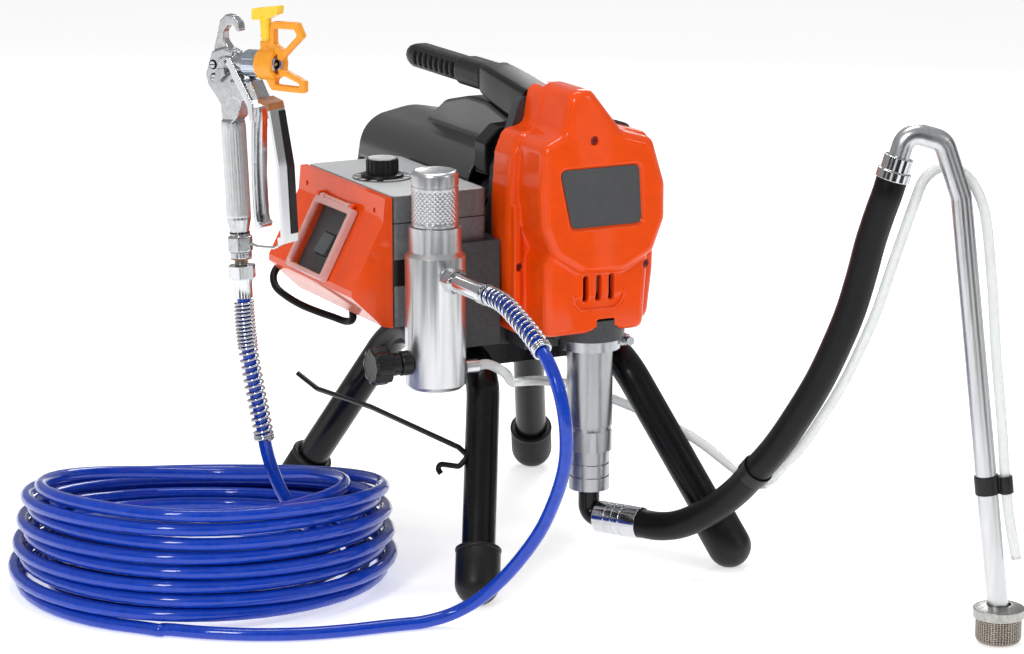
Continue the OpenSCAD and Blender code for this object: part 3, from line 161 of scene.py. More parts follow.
def outline(corners, radius, steps=4):
    """Closed outline in a plane with its corners rounded."""
    p = [np.asarray(c, float) for c in corners]
    made = []
    for i, b in enumerate(p):
        a, c = p[i - 1], p[(i + 1) % len(p)]
        u, v = unit(a - b), unit(c - b)
        h = math.acos(float(np.clip(u @ v, -1, 1))) / 2
        t = min(radius / math.tan(h), 0.48 * min(np.linalg.norm(a - b), np.linalg.norm(c - b)))
        q = t * math.tan(h)
        o = b + unit(u + v) * q / math.sin(h)
        s, e = b + u * t - o, b + v * t - o
        a0 = math.atan2(s[1], s[0])
        w = (math.atan2(e[1], e[0]) - a0 + 3 * math.pi) % (2 * math.pi) - math.pi
        made += [o + q * np.array([math.cos(a0 + w * j / steps), math.sin(a0 + w * j / steps)])
                 for j in range(steps + 1)]
    return made


def drawn_in(corners, d):
    """Outline drawn in by d, for corners listed anticlockwise."""
    p = [np.asarray(c, float) for c in corners]
    made = []
    for i, b in enumerate(p):
        u, v = unit(b - p[i - 1]), unit(p[(i + 1) % len(p)] - b)
        made.append(b + np.array([-u[1] - v[1], u[0] + v[0]]) * d / (1 + u @ v))
    return made


NEARLY_STRAIGHT = 0.09                  # radians


def soft_edges(profile, r, steps=3):
    """Profile of a turned piece with its corners rounded by r."""
    p = [np.asarray(q, float) for q in profile]
    made = [p[0]]
    for a, b, c in zip(p, p[1:], p[2:]):
        u, v = unit(b - a), unit(c - b)
        h = math.acos(float(np.clip(u @ v, -1, 1)))
        if h < NEARLY_STRAIGHT:
            made.append(b)
            continue
        t = min(r * math.tan(h / 2), 0.45 * min(np.linalg.norm(b - a), np.linalg.norm(c - b)))
        q, m = t / math.tan(h / 2), unit(v - u * (u @ v))
        made += [b - u * t + q * (math.sin(h * j / steps) * u + (1 - math.cos(h * j / steps)) * m)
                 for j in range(steps + 1)]
    return made + [p[-1]]


# ---------- materials ----------
def linear(code):
    """Colour of a hex code, in linear values."""
    parts = [int(code[i:i + 2], 16) / 255 for i in (1, 3, 5)]
    return [c / 12.92 if c <= 0.04045 else ((c + 0.055) / 1.055) ** 2.4 for c in parts]


LOOKS = {}


def surface(key, colour, rough, metal=0.0, shade=0.1, grain=180.0, stretch=(1, 1, 1), wear=0.05, bump=0.0,
         bump_grain=900.0, depth=0.0002, name=None, **sockets):
    """Surface whose colour, gloss and relief vary as the real one's do."""
    made = bpy.data.materials.new(name or key)
    made.use_nodes = True
    tree = made.node_tree
    shader = tree.nodes["Principled BSDF"]
    place = tree.nodes.new("ShaderNodeTexCoord")
    turn = tree.nodes.new("ShaderNodeMapping")
    turn.inputs["Scale"].default_value = stretch
    tree.links.new(place.outputs["Object"], turn.inputs["Vector"])

    def noise(scale, detail):
        n = tree.nodes.new("ShaderNodeTexNoise")
        n.inputs["Scale"].default_value = scale
        n.inputs["Detail"].default_value = detail
        tree.links.new(turn.outputs["Vector"], n.inputs["Vector"])
        return n.outputs["Fac"]

    ramp = tree.nodes.new("ShaderNodeValToRGB")
    base = linear(colour)
    stops = ramp.color_ramp.elements
    stops[0].position, stops[1].position = 0.3, 0.7
    stops[0].color = (*[c * (1 - shade) for c in base], 1)
    stops[1].color = (*[min(1, c * (1 + shade)) for c in base], 1)
    tree.links.new(noise(grain, 5), ramp.inputs["Fac"])
    tree.links.new(ramp.outputs["Color"], shader.inputs["Base Color"])
    spread = tree.nodes.new("ShaderNodeMapRange")
    spread.inputs["From Min"].default_value = 0.3
    spread.inputs["From Max"].default_value = 0.7
    spread.inputs["To Min"].default_value = max(0.02, rough - wear)
    spread.inputs["To Max"].default_value = rough + wear
    tree.links.new(noise(grain * 0.22, 4), spread.inputs["Value"])
    tree.links.new(spread.outputs["Result"], shader.inputs["Roughness"])
    shader.inputs["Metallic"].default_value = metal
    if bump:
        relief = tree.nodes.new("ShaderNodeBump")
        relief.inputs["Strength"].default_value = bump
        relief.inputs["Distance"].default_value = depth
        tree.links.new(noise(bump_grain, 3), relief.inputs["Height"])
        tree.links.new(relief.outputs["Normal"], shader.inputs["Normal"])
    for socket, value in sockets.items():
        shader.inputs[socket.replace("_", " ")].default_value = value
    LOOKS[key] = made


surface("mesh_dark", "#26231f", 0.7, metal=0.4, shade=0.4, grain=900)
surface("rocker_grey", "#565c5e", 0.4, shade=0.08, bump=0.2, bump_grain=1200)
surface("mark", "#1a1a1b", 0.4, shade=0.1, name="dial_mark")
surface("card", "#0c0c0c", 0.9, shade=0.05, name="studio_card")
surface("satin_black", "#0b0c0d", 0.26, shade=0.2, bump=0.15, bump_grain=700, Specular_IOR_Level=0.22,
        Coat_Weight=0.12, Coat_Roughness=0.12, name="stand_black")
surface("foot_rubber", "#151516", 0.42, shade=0.25, bump=0.3, bump_grain=1400, Specular_IOR_Level=0.3)
surface("orange", "#ee4c04", 0.4, shade=0.05, grain=60, wear=0.05, bump=0.1, bump_grain=260, depth=0.0001,
        Specular_IOR_Level=0.1, Coat_Weight=0.6, Coat_Roughness=0.07, name="cover_orange")
surface("plate_grey", "#4b4c4e", 0.45, shade=0.06, bump=0.3, bump_grain=1800, Specular_IOR_Level=0.3)
surface("cast_grey", "#707376", 0.4, shade=0.14, grain=240, bump=0.8, bump_grain=1100, metal=0.35, wear=0.08)
surface("dark_cast", "#3c3e41", 0.45, shade=0.2, grain=240, bump=0.7, bump_grain=1100)
surface("shroud_grey", "#27282a", 0.34, shade=0.08, grain=50, bump=0.15, bump_grain=500, depth=0.0001,
        Specular_IOR_Level=0.6, Coat_Weight=0.5, Coat_Roughness=0.14)
surface("black_plastic", "#121213", 0.33, shade=0.2, bump=0.3, bump_grain=1300, Specular_IOR_Level=0.35)
surface("grip_rubber", "#171718", 0.48, shade=0.22, bump=0.5, bump_grain=1600, Specular_IOR_Level=0.35)
surface("steel", "#b9bcc0", 0.24, metal=1, shade=0.1, grain=220, stretch=(1, 1, 0.12), bump=0.18,
        bump_grain=1500)
surface("polished", "#d9dbde", 0.12, metal=1, shade=0.06, grain=120, stretch=(1, 1, 0.15), wear=0.04,
        bump=0.05, bump_grain=900)
surface("aluminium", "#cfd1d3", 0.3, metal=1, shade=0.08, grain=260, stretch=(1, 1, 0.1), bump=0.25,
        bump_grain=1500, wear=0.06)
surface("cast_aluminium", "#c6c8ca", 0.25, metal=1, shade=0.12, grain=300, bump=0.3, bump_grain=1500,
        wear=0.07)
surface("satin_steel", "#d3d5d7", 0.33, metal=1, shade=0.07, grain=90, stretch=(1, 1, 0.2), bump=0.12,
        bump_grain=1700, wear=0.05)
surface("dial_white", "#dfe1e2", 0.35, metal=0.25, shade=0.04, grain=300, bump=0.08)
surface("bright_alu", "#e4e6e7", 0.42, metal=1, shade=0.05, grain=200, bump=0.15, bump_grain=1500,
        name="bright_aluminium")
surface("pump_steel", "#aeb0b3", 0.3, metal=1, shade=0.07, grain=120, stretch=(1, 1, 0.2), bump=0.12,
        bump_grain=1500)
# near-black of painted shade in recesses: the grip's finger slots and the ring round each gun screw
surface("slot_black", "#040404", 0.7, shade=0.2, Specular_IOR_Level=0.1)
surface("suction_rubber", "#0b0b0c", 0.4, shade=0.25, grain=300, bump=0.5, bump_grain=1200,
        Specular_IOR_Level=0.2)
surface("clear_tube", "#eef1f0", 0.22, shade=0.03, Transmission_Weight=0.5, IOR=1.25, Subsurface_Weight=0.15,
        Subsurface_Scale=0.004, Coat_Weight=0.3)
surface("window_red", "#ffc2bb", 0.14, shade=0.04, wear=0.05, Transmission_Weight=0.3, IOR=1.3,
        Coat_Weight=0.5, Coat_Roughness=0.05)
surface("clear_pane", "#ffffff", 0.03, shade=0.01, wear=0.01, Transmission_Weight=1.0, IOR=1.05)
surface("blue_hose", "#063cb2", 0.4, shade=0.14, grain=160, wear=0.06, bump=0.08, bump_grain=420,
        Specular_IOR_Level=0.1, Coat_Weight=0.85, Coat_Roughness=0.06)
surface("amber", "#f5a229", 0.34, shade=0.07, grain=140, bump=0.2, bump_grain=900, Subsurface_Weight=0.15,
        Subsurface_Scale=0.004)
surface("yellow", "#fbd23a", 0.3, shade=0.06, grain=140, bump=0.15, bump_grain=900, Subsurface_Weight=0.2,
        Subsurface_Scale=0.004)
surface("zinc", "#b2b2ae", 0.36, metal=1, shade=0.16, grain=300, bump=0.3)
surface("mesh", "#b5aca1", 0.32, metal=1, shade=0.3, grain=700, bump=0.3, name="mesh_wire")
surface("nut_blue", "#c3ccda", 0.28, metal=1, shade=0.08, grain=300, bump=0.3)
surface("brown", "#a1683a", 0.45, shade=0.15, name="guard_pad")
surface("brass", "#c09a70", 0.3, metal=1, shade=0.12)
# dark red of painted shade, for the screws deep in the orange cover's holes
surface("recess_shade_red", "#7c0703", 0.45, shade=0.1)
surface("floor", "#f7f7f6", 0.8, shade=0.01, grain=3, Emission_Color=(1, 1, 1, 1), Emission_Strength=0.55,
        name="studio_floor")

NODES_OF_SLOT = {
    "satin_black": "cross_bars motor_can shroud_bracket",
    "cast_grey": "drive_housing box_body",
    "orange": "box_cover",
    "plate_grey": "label_plate box_panel",
    "polished": "cover_screws hose_swivel outlet_fitting trigger_guard gun_trigger pump_cylinder "
                "hose_ferrule suction_nut",
    "shroud_grey": "motor_shroud",
    "black_plastic": "power_rocker pressure_knob box_gland hose_clips",
    "grip_rubber": "handle_grip",
    "steel": "lock_nut foot_valve manifold_body trigger_lock",
    "aluminium": "gun_body",
    "zinc": "strainer_cap",
    "nut_blue": "gun_nut",
    "amber": "tip_guard",
    "yellow": "spray_tip",
}
SLOT_OF = {node: slot for slot, nodes in NODES_OF_SLOT.items() for node in nodes.split()}


# ---------- ways to make pieces ----------
def settle(piece, look, slot, body, nodes=()):
    """Gives a piece its material and lets it ride on its body; its slot, by default the look's name, is not
    used.
    """
    slot = slot or look
    if piece.name not in scene.collection.objects:
        scene.collection.objects.link(piece)
    piece.data.materials.clear()
    piece.data.materials.append(LOOKS[look])
    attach(piece, body)
    if nodes:
        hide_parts(*nodes)
    return piece


def strand(name, line, radius, look, slot=None, nodes=(), rings=6):
    """Round wire, tube or hose along a line."""
    data = bpy.data.curves.new(name, "CURVE")
    data.dimensions = "3D"
    data.bevel_depth = radius * MM
    data.bevel_resolution = rings
    data.use_fill_caps = True
    path = data.splines.new("POLY")
    path.points.add(len(line) - 1)
    for point, p in zip(path.points, line):
        point.co = (*world(p), 1)
    path.use_smooth = True
    return settle(bpy.data.objects.new(name, data), look, slot, "frame", nodes)


SAME_POINT, SAME_CAD_POINT = 1e-6, 2e-6     # metres between points that are one
# degrees between two faces: up to FLAT they become one, from SHARP on they meet in an edge, which is rounded
FLAT, SHARP = 0.6, 32


def raw(name, verts, faces):
    """Bare mesh object from points of the machine's frame."""
    mesh = bpy.data.meshes.new(name)
    mesh.from_pydata([tuple(world(v)) for v in verts], [], [list(f) for f in faces])
    work = bmesh.new()
    work.from_mesh(mesh)
    bmesh.ops.remove_doubles(work, verts=work.verts, dist=SAME_POINT)
    bmesh.ops.recalc_face_normals(work, faces=work.faces)
    work.to_mesh(mesh)
    work.free()
    piece = bpy.data.objects.new(name, mesh)
    scene.collection.objects.link(piece)
    return piece


def mesh_piece(name, verts, faces, look, slot=None, body="frame", nodes=(), smooth_to=35, edge=0.0):
    """Mesh from points of the machine's frame, with rounded edges where edge is given."""
    piece = raw(name, verts, faces)
    piece.data.shade_smooth()
    piece.data.set_sharp_from_angle(angle=math.radians(smooth_to))
    if edge:
        round_edges(piece, edge)
    return settle(piece, look, slot, body, nodes)


def round_edges(piece, width, steps=2):
    """Rounds every edge of the piece that is sharp enough to be one."""
    bevel = piece.modifiers.new("edges", "BEVEL")
    bevel.width = width * MM
    bevel.segments = steps
    bevel.limit_method = "ANGLE"
    bevel.angle_limit = math.radians(SHARP)
    bevel.harden_normals = True


def lathe(name, profile, at, way, look, slot=None, body="frame", nodes=(), sides=96, ripple=None, edge=0.0):
    """Piece turned about the line through at, from radii and heights; ripple is added to the radius."""
    x, y, z = axes(way)
    at = np.asarray(at, float)
    profile = soft_edges(profile, edge) if edge else profile
    verts, faces = [], []
    for r, h in profile:
        for k in range(sides):
            a = 2 * math.pi * k / sides
            q = max(r + (ripple(a, h) if ripple and r > 0.5 else 0), 0)
            verts.append(at + z * h + q * (math.cos(a) * x + math.sin(a) * y))
    for i in range(len(profile) - 1):
        for k in range(sides):
            a, b = i * sides + k, i * sides + (k + 1) % sides
            faces.append((a, b, b + sides, a + sides))
    return mesh_piece(name, verts, faces, look, slot, body, nodes)


def skin(rings):
    """Points and faces of the closed skin through rings of equal length."""
    s = len(rings[0])
    verts = [v for ring in rings for v in ring]
    faces = [(i * s + k, i * s + (k + 1) % s, (i + 1) * s + (k + 1) % s, (i + 1) * s + k)
             for i in range(len(rings) - 1) for k in range(s)]
    return verts, faces + [tuple(range(s)), tuple(reversed(range(len(verts) - s, len(verts))))]


def loop_skin(rings):
    """Points and faces of the skin that runs through the rings and back to the first one."""
    s, n = len(rings[0]), len(rings)
    verts = [v for ring in rings for v in ring]
    return verts, [(i * s + k, i * s + (k + 1) % s, (i + 1) % n * s + (k + 1) % s, (i + 1) % n * s + k)
                   for i in range(n) for k in range(s)]


def loft(name, rings, look, slot=None, body="frame", nodes=(), smooth_to=35, edge=0.0):
    return mesh_piece(name, *skin(rings), look, slot, body, nodes, smooth_to, edge)


def upright(corners, stages, radius):
    """Skin whose rings stand square to Y; stages are pairs of depth and how far the outline is drawn in."""
    return skin([[(q[0], y, q[1]) for q in outline(drawn_in(corners, d), radius)] for y, d in stages])


def box_skin(low, high):
    return skin([[(x, y, z) for x, y in box_corners(low[0], high[0], low[1], high[1])]
                 for z in (low[2], high[2])])


def drum(at, way, radius, length):
    """Skin of a plain round bar."""
    x, y, z = axes(way)
    return skin([circle(np.asarray(at, float) + z * h, x, y, radius, 48) for h in (0, length)])


def carve(name, first, add, cut):
    """Joins skins to the first one and cuts others away from it."""
    piece = raw(name, *first)
    for kind, skins in (("UNION", add), ("DIFFERENCE", cut)):
        if not skins:
            continue
        group = bpy.data.collections.new(name + kind)
        scene.collection.children.link(group)
        tools = [raw(f"{name}_{kind}_{i}", *one) for i, one in enumerate(skins)]
        for tool in tools:
            scene.collection.objects.unlink(tool)
            group.objects.link(tool)
        step = piece.modifiers.new(kind, "BOOLEAN")
        step.operation, step.solver, step.operand_type, step.collection = kind, "EXACT", "COLLECTION", group
        baked(piece)
        for tool in tools:
            bpy.data.objects.remove(tool)
        bpy.data.collections.remove(group)
    return piece


def cleaned(node, name):
    """Copy of a CAD solid with its flat faces whole."""
    piece = bpy.data.objects.new(name, NODES[node].data.copy())
    scene.collection.objects.link(piece)
    work = bmesh.new()
    work.from_mesh(piece.data)
    bmesh.ops.remove_doubles(work, verts=work.verts, dist=SAME_CAD_POINT)
    bmesh.ops.dissolve_limit(work, angle_limit=math.radians(FLAT), verts=work.verts, edges=work.edges)
    bmesh.ops.recalc_face_normals(work, faces=work.faces)
    work.to_mesh(piece.data)
    work.free()
    return piece


def refine(node, edge, look=None, steps=2):
    """The CAD solid with fine rounded edges and smooth round faces."""
    piece = cleaned(node, node + "_finished")
    piece.data.shade_smooth()
    piece.data.set_sharp_from_angle(angle=math.radians(SHARP))
    round_edges(piece, edge, steps)
    return settle(piece, look or SLOT_OF[node], SLOT_OF[node], NODES[node]["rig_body"], (node,))


def baked(piece):
    """Turns what the modifiers make into the mesh itself."""
    bpy.context.view_layer.update()
    seen = piece.evaluated_get(bpy.context.evaluated_depsgraph_get())
    mesh = bpy.data.meshes.new_from_object(seen)
    piece.modifiers.clear()
    piece.data = mesh


def remesh(piece, voxel, rounds):
    """One smooth skin over everything in the piece, as a casting or a moulding has."""
    grid = piece.modifiers.new("skin", "REMESH")
    grid.mode = "VOXEL"
    grid.voxel_size = voxel * MM
    ease = piece.modifiers.new("ease", "SMOOTH")
    ease.factor = 0.5
    ease.iterations = rounds
    baked(piece)
    piece.data.shade_smooth()


def soften(node, voxel, rounds, look=None):
    """The CAD solid as a moulding with soft edges."""
    piece = cleaned(node, node + "_moulded")
    remesh(piece, voxel, rounds)
    return settle(piece, look or SLOT_OF[node], SLOT_OF[node], NODES[node]["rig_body"], (node,))


# ---------- the hose and the other cords ----------
HOSE_D = 11.5
lead_route = [
    [-156, -108, 282], [-156, -124, 282], [-156, -142, 279.5], [-156, -162, 273], [-156, -182, 266],
    [-156, -204, 256], [-156, -224, 242], [-155, -238, 222], [-153, -243, 198], [-150, -238, 170],
    [-149, -227, 145], [-150, -213, 120], [-153, -199, 97], [-160, -183, 73], [-171, -165, 48],
    [-187, -148, 26], [-207, -135, 12], [-232, -127, 6], [-262, -122, 5.75], [-297, -118, 5.75],
    [-335, -109, 5.75], [-373, -92, 5.75], [-408, -68, 5.75], [-436, -44, 5.75]]
tail_route = [
    [-208.5, 114.3, 5.78], [-211, 98, 6.5], [-220, 79, 9], [-231, 60, 17], [-243, 43, 29], [-257, 30, 43],
    [-269, 22, 56], [-280, 20, 69], [-291, 24, 86], [-299, 29, 106], [-305, 33, 130], [-309, 35, 158],
    [-314.5, 36.5, 190], [-319, 38, 222], [-321.34, 38.543, 250], [-321.788, 39.385, 268.197]]
# turns at which the coil starts, starts and ends its step inwards, is down again inside, and ends
TURN = [k / 24 for k in (13, 207, 219, 237, 363)]
LOOP_PITCH, LOOP_R, LOOP_LEAN, LOOP_SLIP, LOOP_STEP = 12.1, 167, 1.6, 6.2, 25.5
LOOP_AT, LOOP_START, LOOP_DRIFT = (-342, 96), 63, 0.055
LOOP_PLAY = 0.8                         # how much closer than their slip two neighbouring loops lie


def stack(n):
    """Which layer of the coil the hose is in after n turns."""
    if n < TURN[2]:
        return n - TURN[0]
    if n < TURN[3]:
        k = (n - TURN[2]) / (TURN[3] - TURN[2])
        return (TURN[2] - TURN[0]) * (1 - k) + (TURN[4] - TURN[3]) * k
    return TURN[4] - n


def loop_point(n):
    """Middle of the coiled hose after n turns; each loop slips sideways on the one below."""
    first = TURN[2] - TURN[0]
    if n < TURN[2]:
        r = LOOP_R - LOOP_LEAN * (n - TURN[0]) - LOOP_STEP * smooth((n - TURN[1]) / (TURN[2] - TURN[1]))
    else:
        r = LOOP_R - LOOP_LEAN * first - LOOP_STEP + LOOP_LEAN * (first - stack(n))
    r += LOOP_SLIP * math.cos(math.pi * n)
    a = math.radians(LOOP_START - 360 * n)
    slip = max(0, 2 * LOOP_SLIP * abs(math.cos(math.pi * n)) - LOOP_LEAN - LOOP_PLAY)
    rise = math.sqrt(LOOP_PITCH ** 2 - slip ** 2) * stack(n)
    return np.array([LOOP_AT[0] + rise * LOOP_DRIFT + r * math.cos(a), LOOP_AT[1] + r * math.sin(a),
                     HOSE_D / 2 + rise])


def level(v):
    return unit([v[0], v[1], 0])


PER_TURN = 48
count = round(PER_TURN * (TURN[4] - TURN[0]))
loops = [loop_point(TURN[0] + (TURN[4] - TURN[0]) * j / count) for j in range(count + 1)]
coarse = [loop_point(TURN[0] + 1 / 24), loop_point(TURN[4] - 1 / 24)]
way_in, way_out = level(loops[0] - coarse[0]), level(loops[-1] - coarse[1])
LAST_TURN = math.radians(12)            # the hose leaves the coil turned inward, clear of the loop above
way_out = np.array([way_out[0] * math.cos(LAST_TURN) + way_out[1] * math.sin(LAST_TURN),
                    way_out[1] * math.cos(LAST_TURN) - way_out[0] * math.sin(LAST_TURN), 0])
start, end = loops[0] + HOSE_D * way_in, loops[-1] + HOSE_D * way_out
hose_line = (spline(lead_route + [start + HOSE_D * way_in, start], 6)[:-1] + [start] + loops
             + spline([end, end + HOSE_D / 2 * way_out] + tail_route, 6))
hose_line = [np.array([p[0], p[1], max(p[2], HOSE_D / 2)]) for p in hose_line]      # it lies on the floor
hose = strand("pressure_hose", hose_line, HOSE_D / 2, "blue_hose",
              nodes=("hose_lead", "hose_coil", "hose_tail"), rings=5)


def along(line, measure, s):
    """Point and direction after the length s."""
    i = int(np.clip(np.searchsorted(measure, s) - 1, 0, len(line) - 2))
    k = (s - measure[i]) / (measure[i + 1] - measure[i])
    return line[i] * (1 - k) + line[i + 1] * k, unit(line[i + 1] - line[i])


def wound(line, s0, stretches, ring_d):
    """Wire wound round a line from the length s0 on; stretches are pairs of turns and pitch."""
    line = [np.asarray(p, float) for p in line]
    measure = lengths(line)
    marks, s, n = [], s0, 0.0
    for turns, pitch in stretches:
        steps = int(turns * 20)
        marks += [(n + turns * j / steps, s + turns * pitch * j / steps) for j in range(steps)]
        n, s = n + turns, s + turns * pitch
    marks.append((n, s))
    made = []
    for n, s in marks:
        c, t = along(line, measure, s)
        e = unit(np.cross([1, 0, 0], t))
        f = np.cross(t, e)
        a = 2 * math.pi * n
        made.append(c + ring_d / 2 * (math.cos(a) * e + math.sin(a) * f))
    return made


outlet_guard = strand("outlet_guard", wound(hose_line, 2.5, [(1.5, 2.4), (14, 6.6), (2.5, 2.4)], 15.6), 1.15,
                      "polished", "steel", nodes=("outlet_spring",), rings=3)
gun_guard = strand("gun_guard", wound(hose_line[::-1], 2.5, [(13, 3.3), (13, 6.0), (2.5, 2.4)], 16.2), 1.15,
                   "polished", "steel", nodes=("gun_spring",), rings=3)

suction_route = [
    [27, -51, 41], [34.97, -66.01, 41.34], [43, -82, 45], [51, -101, 54], [59, -122, 68], [67, -148, 89],
    [72, -174, 114], [78, -200, 142], [84, -224, 174], [90, -248, 210], [94, -268, 245], [97, -285, 279],
    [98, -299, 312], [97, -313, 343], [97, -326, 369], [97.8815, -335.411, 388], [101, -337, 400]]
suction_line = spline(suction_route, 6)
suction = strand("suction_line", suction_line, 13, "suction_rubber", nodes=("suction_hose",),
                 rings=8)
drain_route = [
    [-120, -12, 196], [-109, -12, 196], [-93, -12, 187], [-79, 2, 174], [-54, 34, 164], [-20, 52, 157],
    [15, 52, 148], [48, 36, 134], [76, 8, 120], [96, -28, 106], [104, -66, 94], [104, -104, 88],
    [98, -138, 90], [92, -166, 101], [92, -186, 118], [97, -210, 142], [103, -234, 174], [109, -258, 210],
    [113, -278, 245], [116, -296, 279], [118, -310, 312], [120, -324, 344], [123, -338, 378],
    [132, -339, 398], [148, -340, 406], [163, -350, 402], [173, -363, 380], [177, -374, 322],
    [182, -378, 250], [188, -381, 190], [192, -383, 139], [197, -386, 100], [202, -388, 74]]
drain_line = spline(drain_route, 5)
drain = strand("drain_line", drain_line, 4.5, "clear_tube", nodes=("drain_tube",), rings=5)
loop_route = [
    [-176, 222, 256], [-176, 230, 256], [-184, 237, 255], [-195, 239, 252], [-205, 237, 246],
    [-211, 232, 239], [-212, 224, 231], [-207, 211, 224], [-199, 196, 218], [-190, 180, 214],
    [-181, 164, 211], [-174, 150, 209], [-172, 140, 213], [-172, 140, 222]]
lead_line = spline(loop_route, 6)
lead = strand("control_lead", lead_line, 3.5, "suction_rubber", nodes=("lead_loop",), rings=4)

# ---------- stand ----------
MID_X, FOOT_MID, LEG_TOP = -28, 19, 188
FOOT_SIDE, TOP_SIDE = 128, 68           # how far the feet and the bends stand from the middle
FOOT_Y, BEND_Y = (-84, 308), (22, 202)
LEG_R, LEG_BEND, CAP_R = 15, 62, 20


def leg_corners(side):
    """Where the middle line of a leg's tube would turn if its bends were sharp."""
    foot, top = MID_X + side * FOOT_SIDE, MID_X + side * TOP_SIDE
    corners = ((foot, FOOT_Y[0], FOOT_MID), (top, BEND_Y[0], LEG_TOP), (top, BEND_Y[1], LEG_TOP),
               (foot, FOOT_Y[1], FOOT_MID))
    return [np.array(p, float) for p in corners]


for side, node in ((-1, "left_leg"), (1, "right_leg")):
    c = leg_corners(side)
    ends = [c[0] + unit(c[1] - c[0]) * 4, c[1], c[2], c[3] - unit(c[3] - c[2]) * 4]
    strand(node + "_tube", rounded(ends, LEG_BEND, 14), LEG_R, "satin_black", nodes=(node,), rings=14)
    for k, (at, up) in enumerate(((c[0], c[1] - c[0]), (c[3], c[2] - c[3]))):
        name = "foot_cap_" + "fr"[k] + ("l" if side < 0 else "r")
        ball = [(CAP_R * math.sin(a), -CAP_R * math.cos(a)) for a in np.linspace(0, math.pi / 2, 15)]
        lip = [(CAP_R, 27), (19.4, 28.2), (20.6, 29), (20.6, 31), (19.9, 32), (18.4, 32.4), (15.6, 32.4),
               (15.2, 31.5), (15.1, 24)]
        cap = lathe(name + "_rubber", ball + soft_edges(lip, 0.5, 2), at, up, "foot_rubber",
                    nodes=(name,), sides=72)
        for v in cap.data.vertices:     # the cap stands flat on the floor
            v.co.z = max(v.co.z, 0)
refine("cross_bars", 2.0, steps=3)
hook = [[-172, 268, 134], [-161, 246, 122], [-150, 150, 125], [-136.6, -8, 122], [-136, -26, 118],
        [-144, -24, 109], [-161, -6, 110], [-156, -12, 101]]
strand("pail_hook_wire", rounded(hook, 4, 6), 2.5, "satin_black", nodes=("pail_hook",), rings=5)

# ---------- solids that keep their shape, with finer edges or a softer skin ----------
refine("drive_housing", 0.8, "dark_cast")
# painted shade: the cover's screws take the dark red of their shaded recesses, not the metal they are
refine("cover_screws", 0.3, "recess_shade_red")
EDGES = {"label_plate": 0.4, "motor_can": 1.2, "shroud_bracket": 2.0, "lock_nut": 0.6, "hose_ferrule": 0.4,
         "suction_nut": 0.8, "strainer_cap": 0.5, "hose_clips": 0.6, "outlet_fitting": 0.5, "box_body": 1.0,
         "box_cover": 1.2, "box_panel": 0.4, "pressure_knob": 0.5, "box_gland": 0.5, "gun_nut": 0.5,
         "trigger_guard": 0.5, "trigger_lock": 0.4, "spray_tip": 0.7, "hose_swivel": 0.5}
FINISHED = {node: refine(node, edge) for node, edge in EDGES.items()}
soften("motor_shroud", 1.3, 7)
soften("handle_grip", 0.8, 1)
soften("gun_body", 0.6, 3, "cast_aluminium")
soften("tip_guard", 0.6, 4)
soften("gun_trigger", 0.6, 3)
refine("manifold_body", 1.6, "satin_steel")
refine("power_rocker", 0.5, "rocker_grey")
refine("pump_cylinder", 0.5, "pump_steel")
refine("foot_valve", 0.5, "pump_steel")

# ---------- elbow under the pump, and suction pipe ----------
ELBOW_AT, ELBOW_WAY = np.array([0, 0, 40]), unit([0.469, -0.883, 0.02])
elbow = rounded([[0, 0, 66], ELBOW_AT, ELBOW_AT + ELBOW_WAY * 17], 10, 10)
strand("elbow_pipe", elbow, 9.75, "satin_black", nodes=("outlet_elbow",), rings=8)
CUP = (190, -382)                       # the strainer's middle
PIPE_WAY = (0.891, -0.454)              # level direction in which the pipe leans and bends


def in_plane(s, z):
    """Point of the pipe's plane, s from the strainer's middle line."""
    return np.array([CUP[0] + s * PIPE_WAY[0], CUP[1] + s * PIPE_WAY[1], z])


nut_dir = unit(in_plane(3.5, 12) - in_plane(0, 0))
pipe_end = np.array(suction_route[-1]) + nut_dir * 20
pipe = rounded([in_plane(0, 27), in_plane(-2, 40), in_plane(-42, 385), in_plane(-58, 432),
                pipe_end + nut_dir * 22, pipe_end], 13, 12)
strand("bent_pipe", pipe, 9, "aluminium", nodes=("suction_pipe",), rings=10)

# ---------- moulded front cover ----------
seat = [(-74, 214), (66, 214), (72, 262), (74, 345), (66, 388), (20, 401), (-14, 436), (-40, 436), (-46, 400),
        (-66, 397), (-74, 378), (-77, 340), (-78, 300)]
lobe = [(-56, 292), (-28, 274), (16, 272), (46, 288), (58, 318), (58, 350), (45, 392), (14, 401), (-17, 440),
        (-38, 440), (-45, 402), (-66, 392), (-68, 350), (-67, 318)]
skirt = [(-60, 217), (40, 217), (45, 284), (30, 310), (-50, 310), (-61, 284)]


def lug(x, z0, z1, w):
    return box_corners(x - w / 2, x + w / 2, z0, z1)


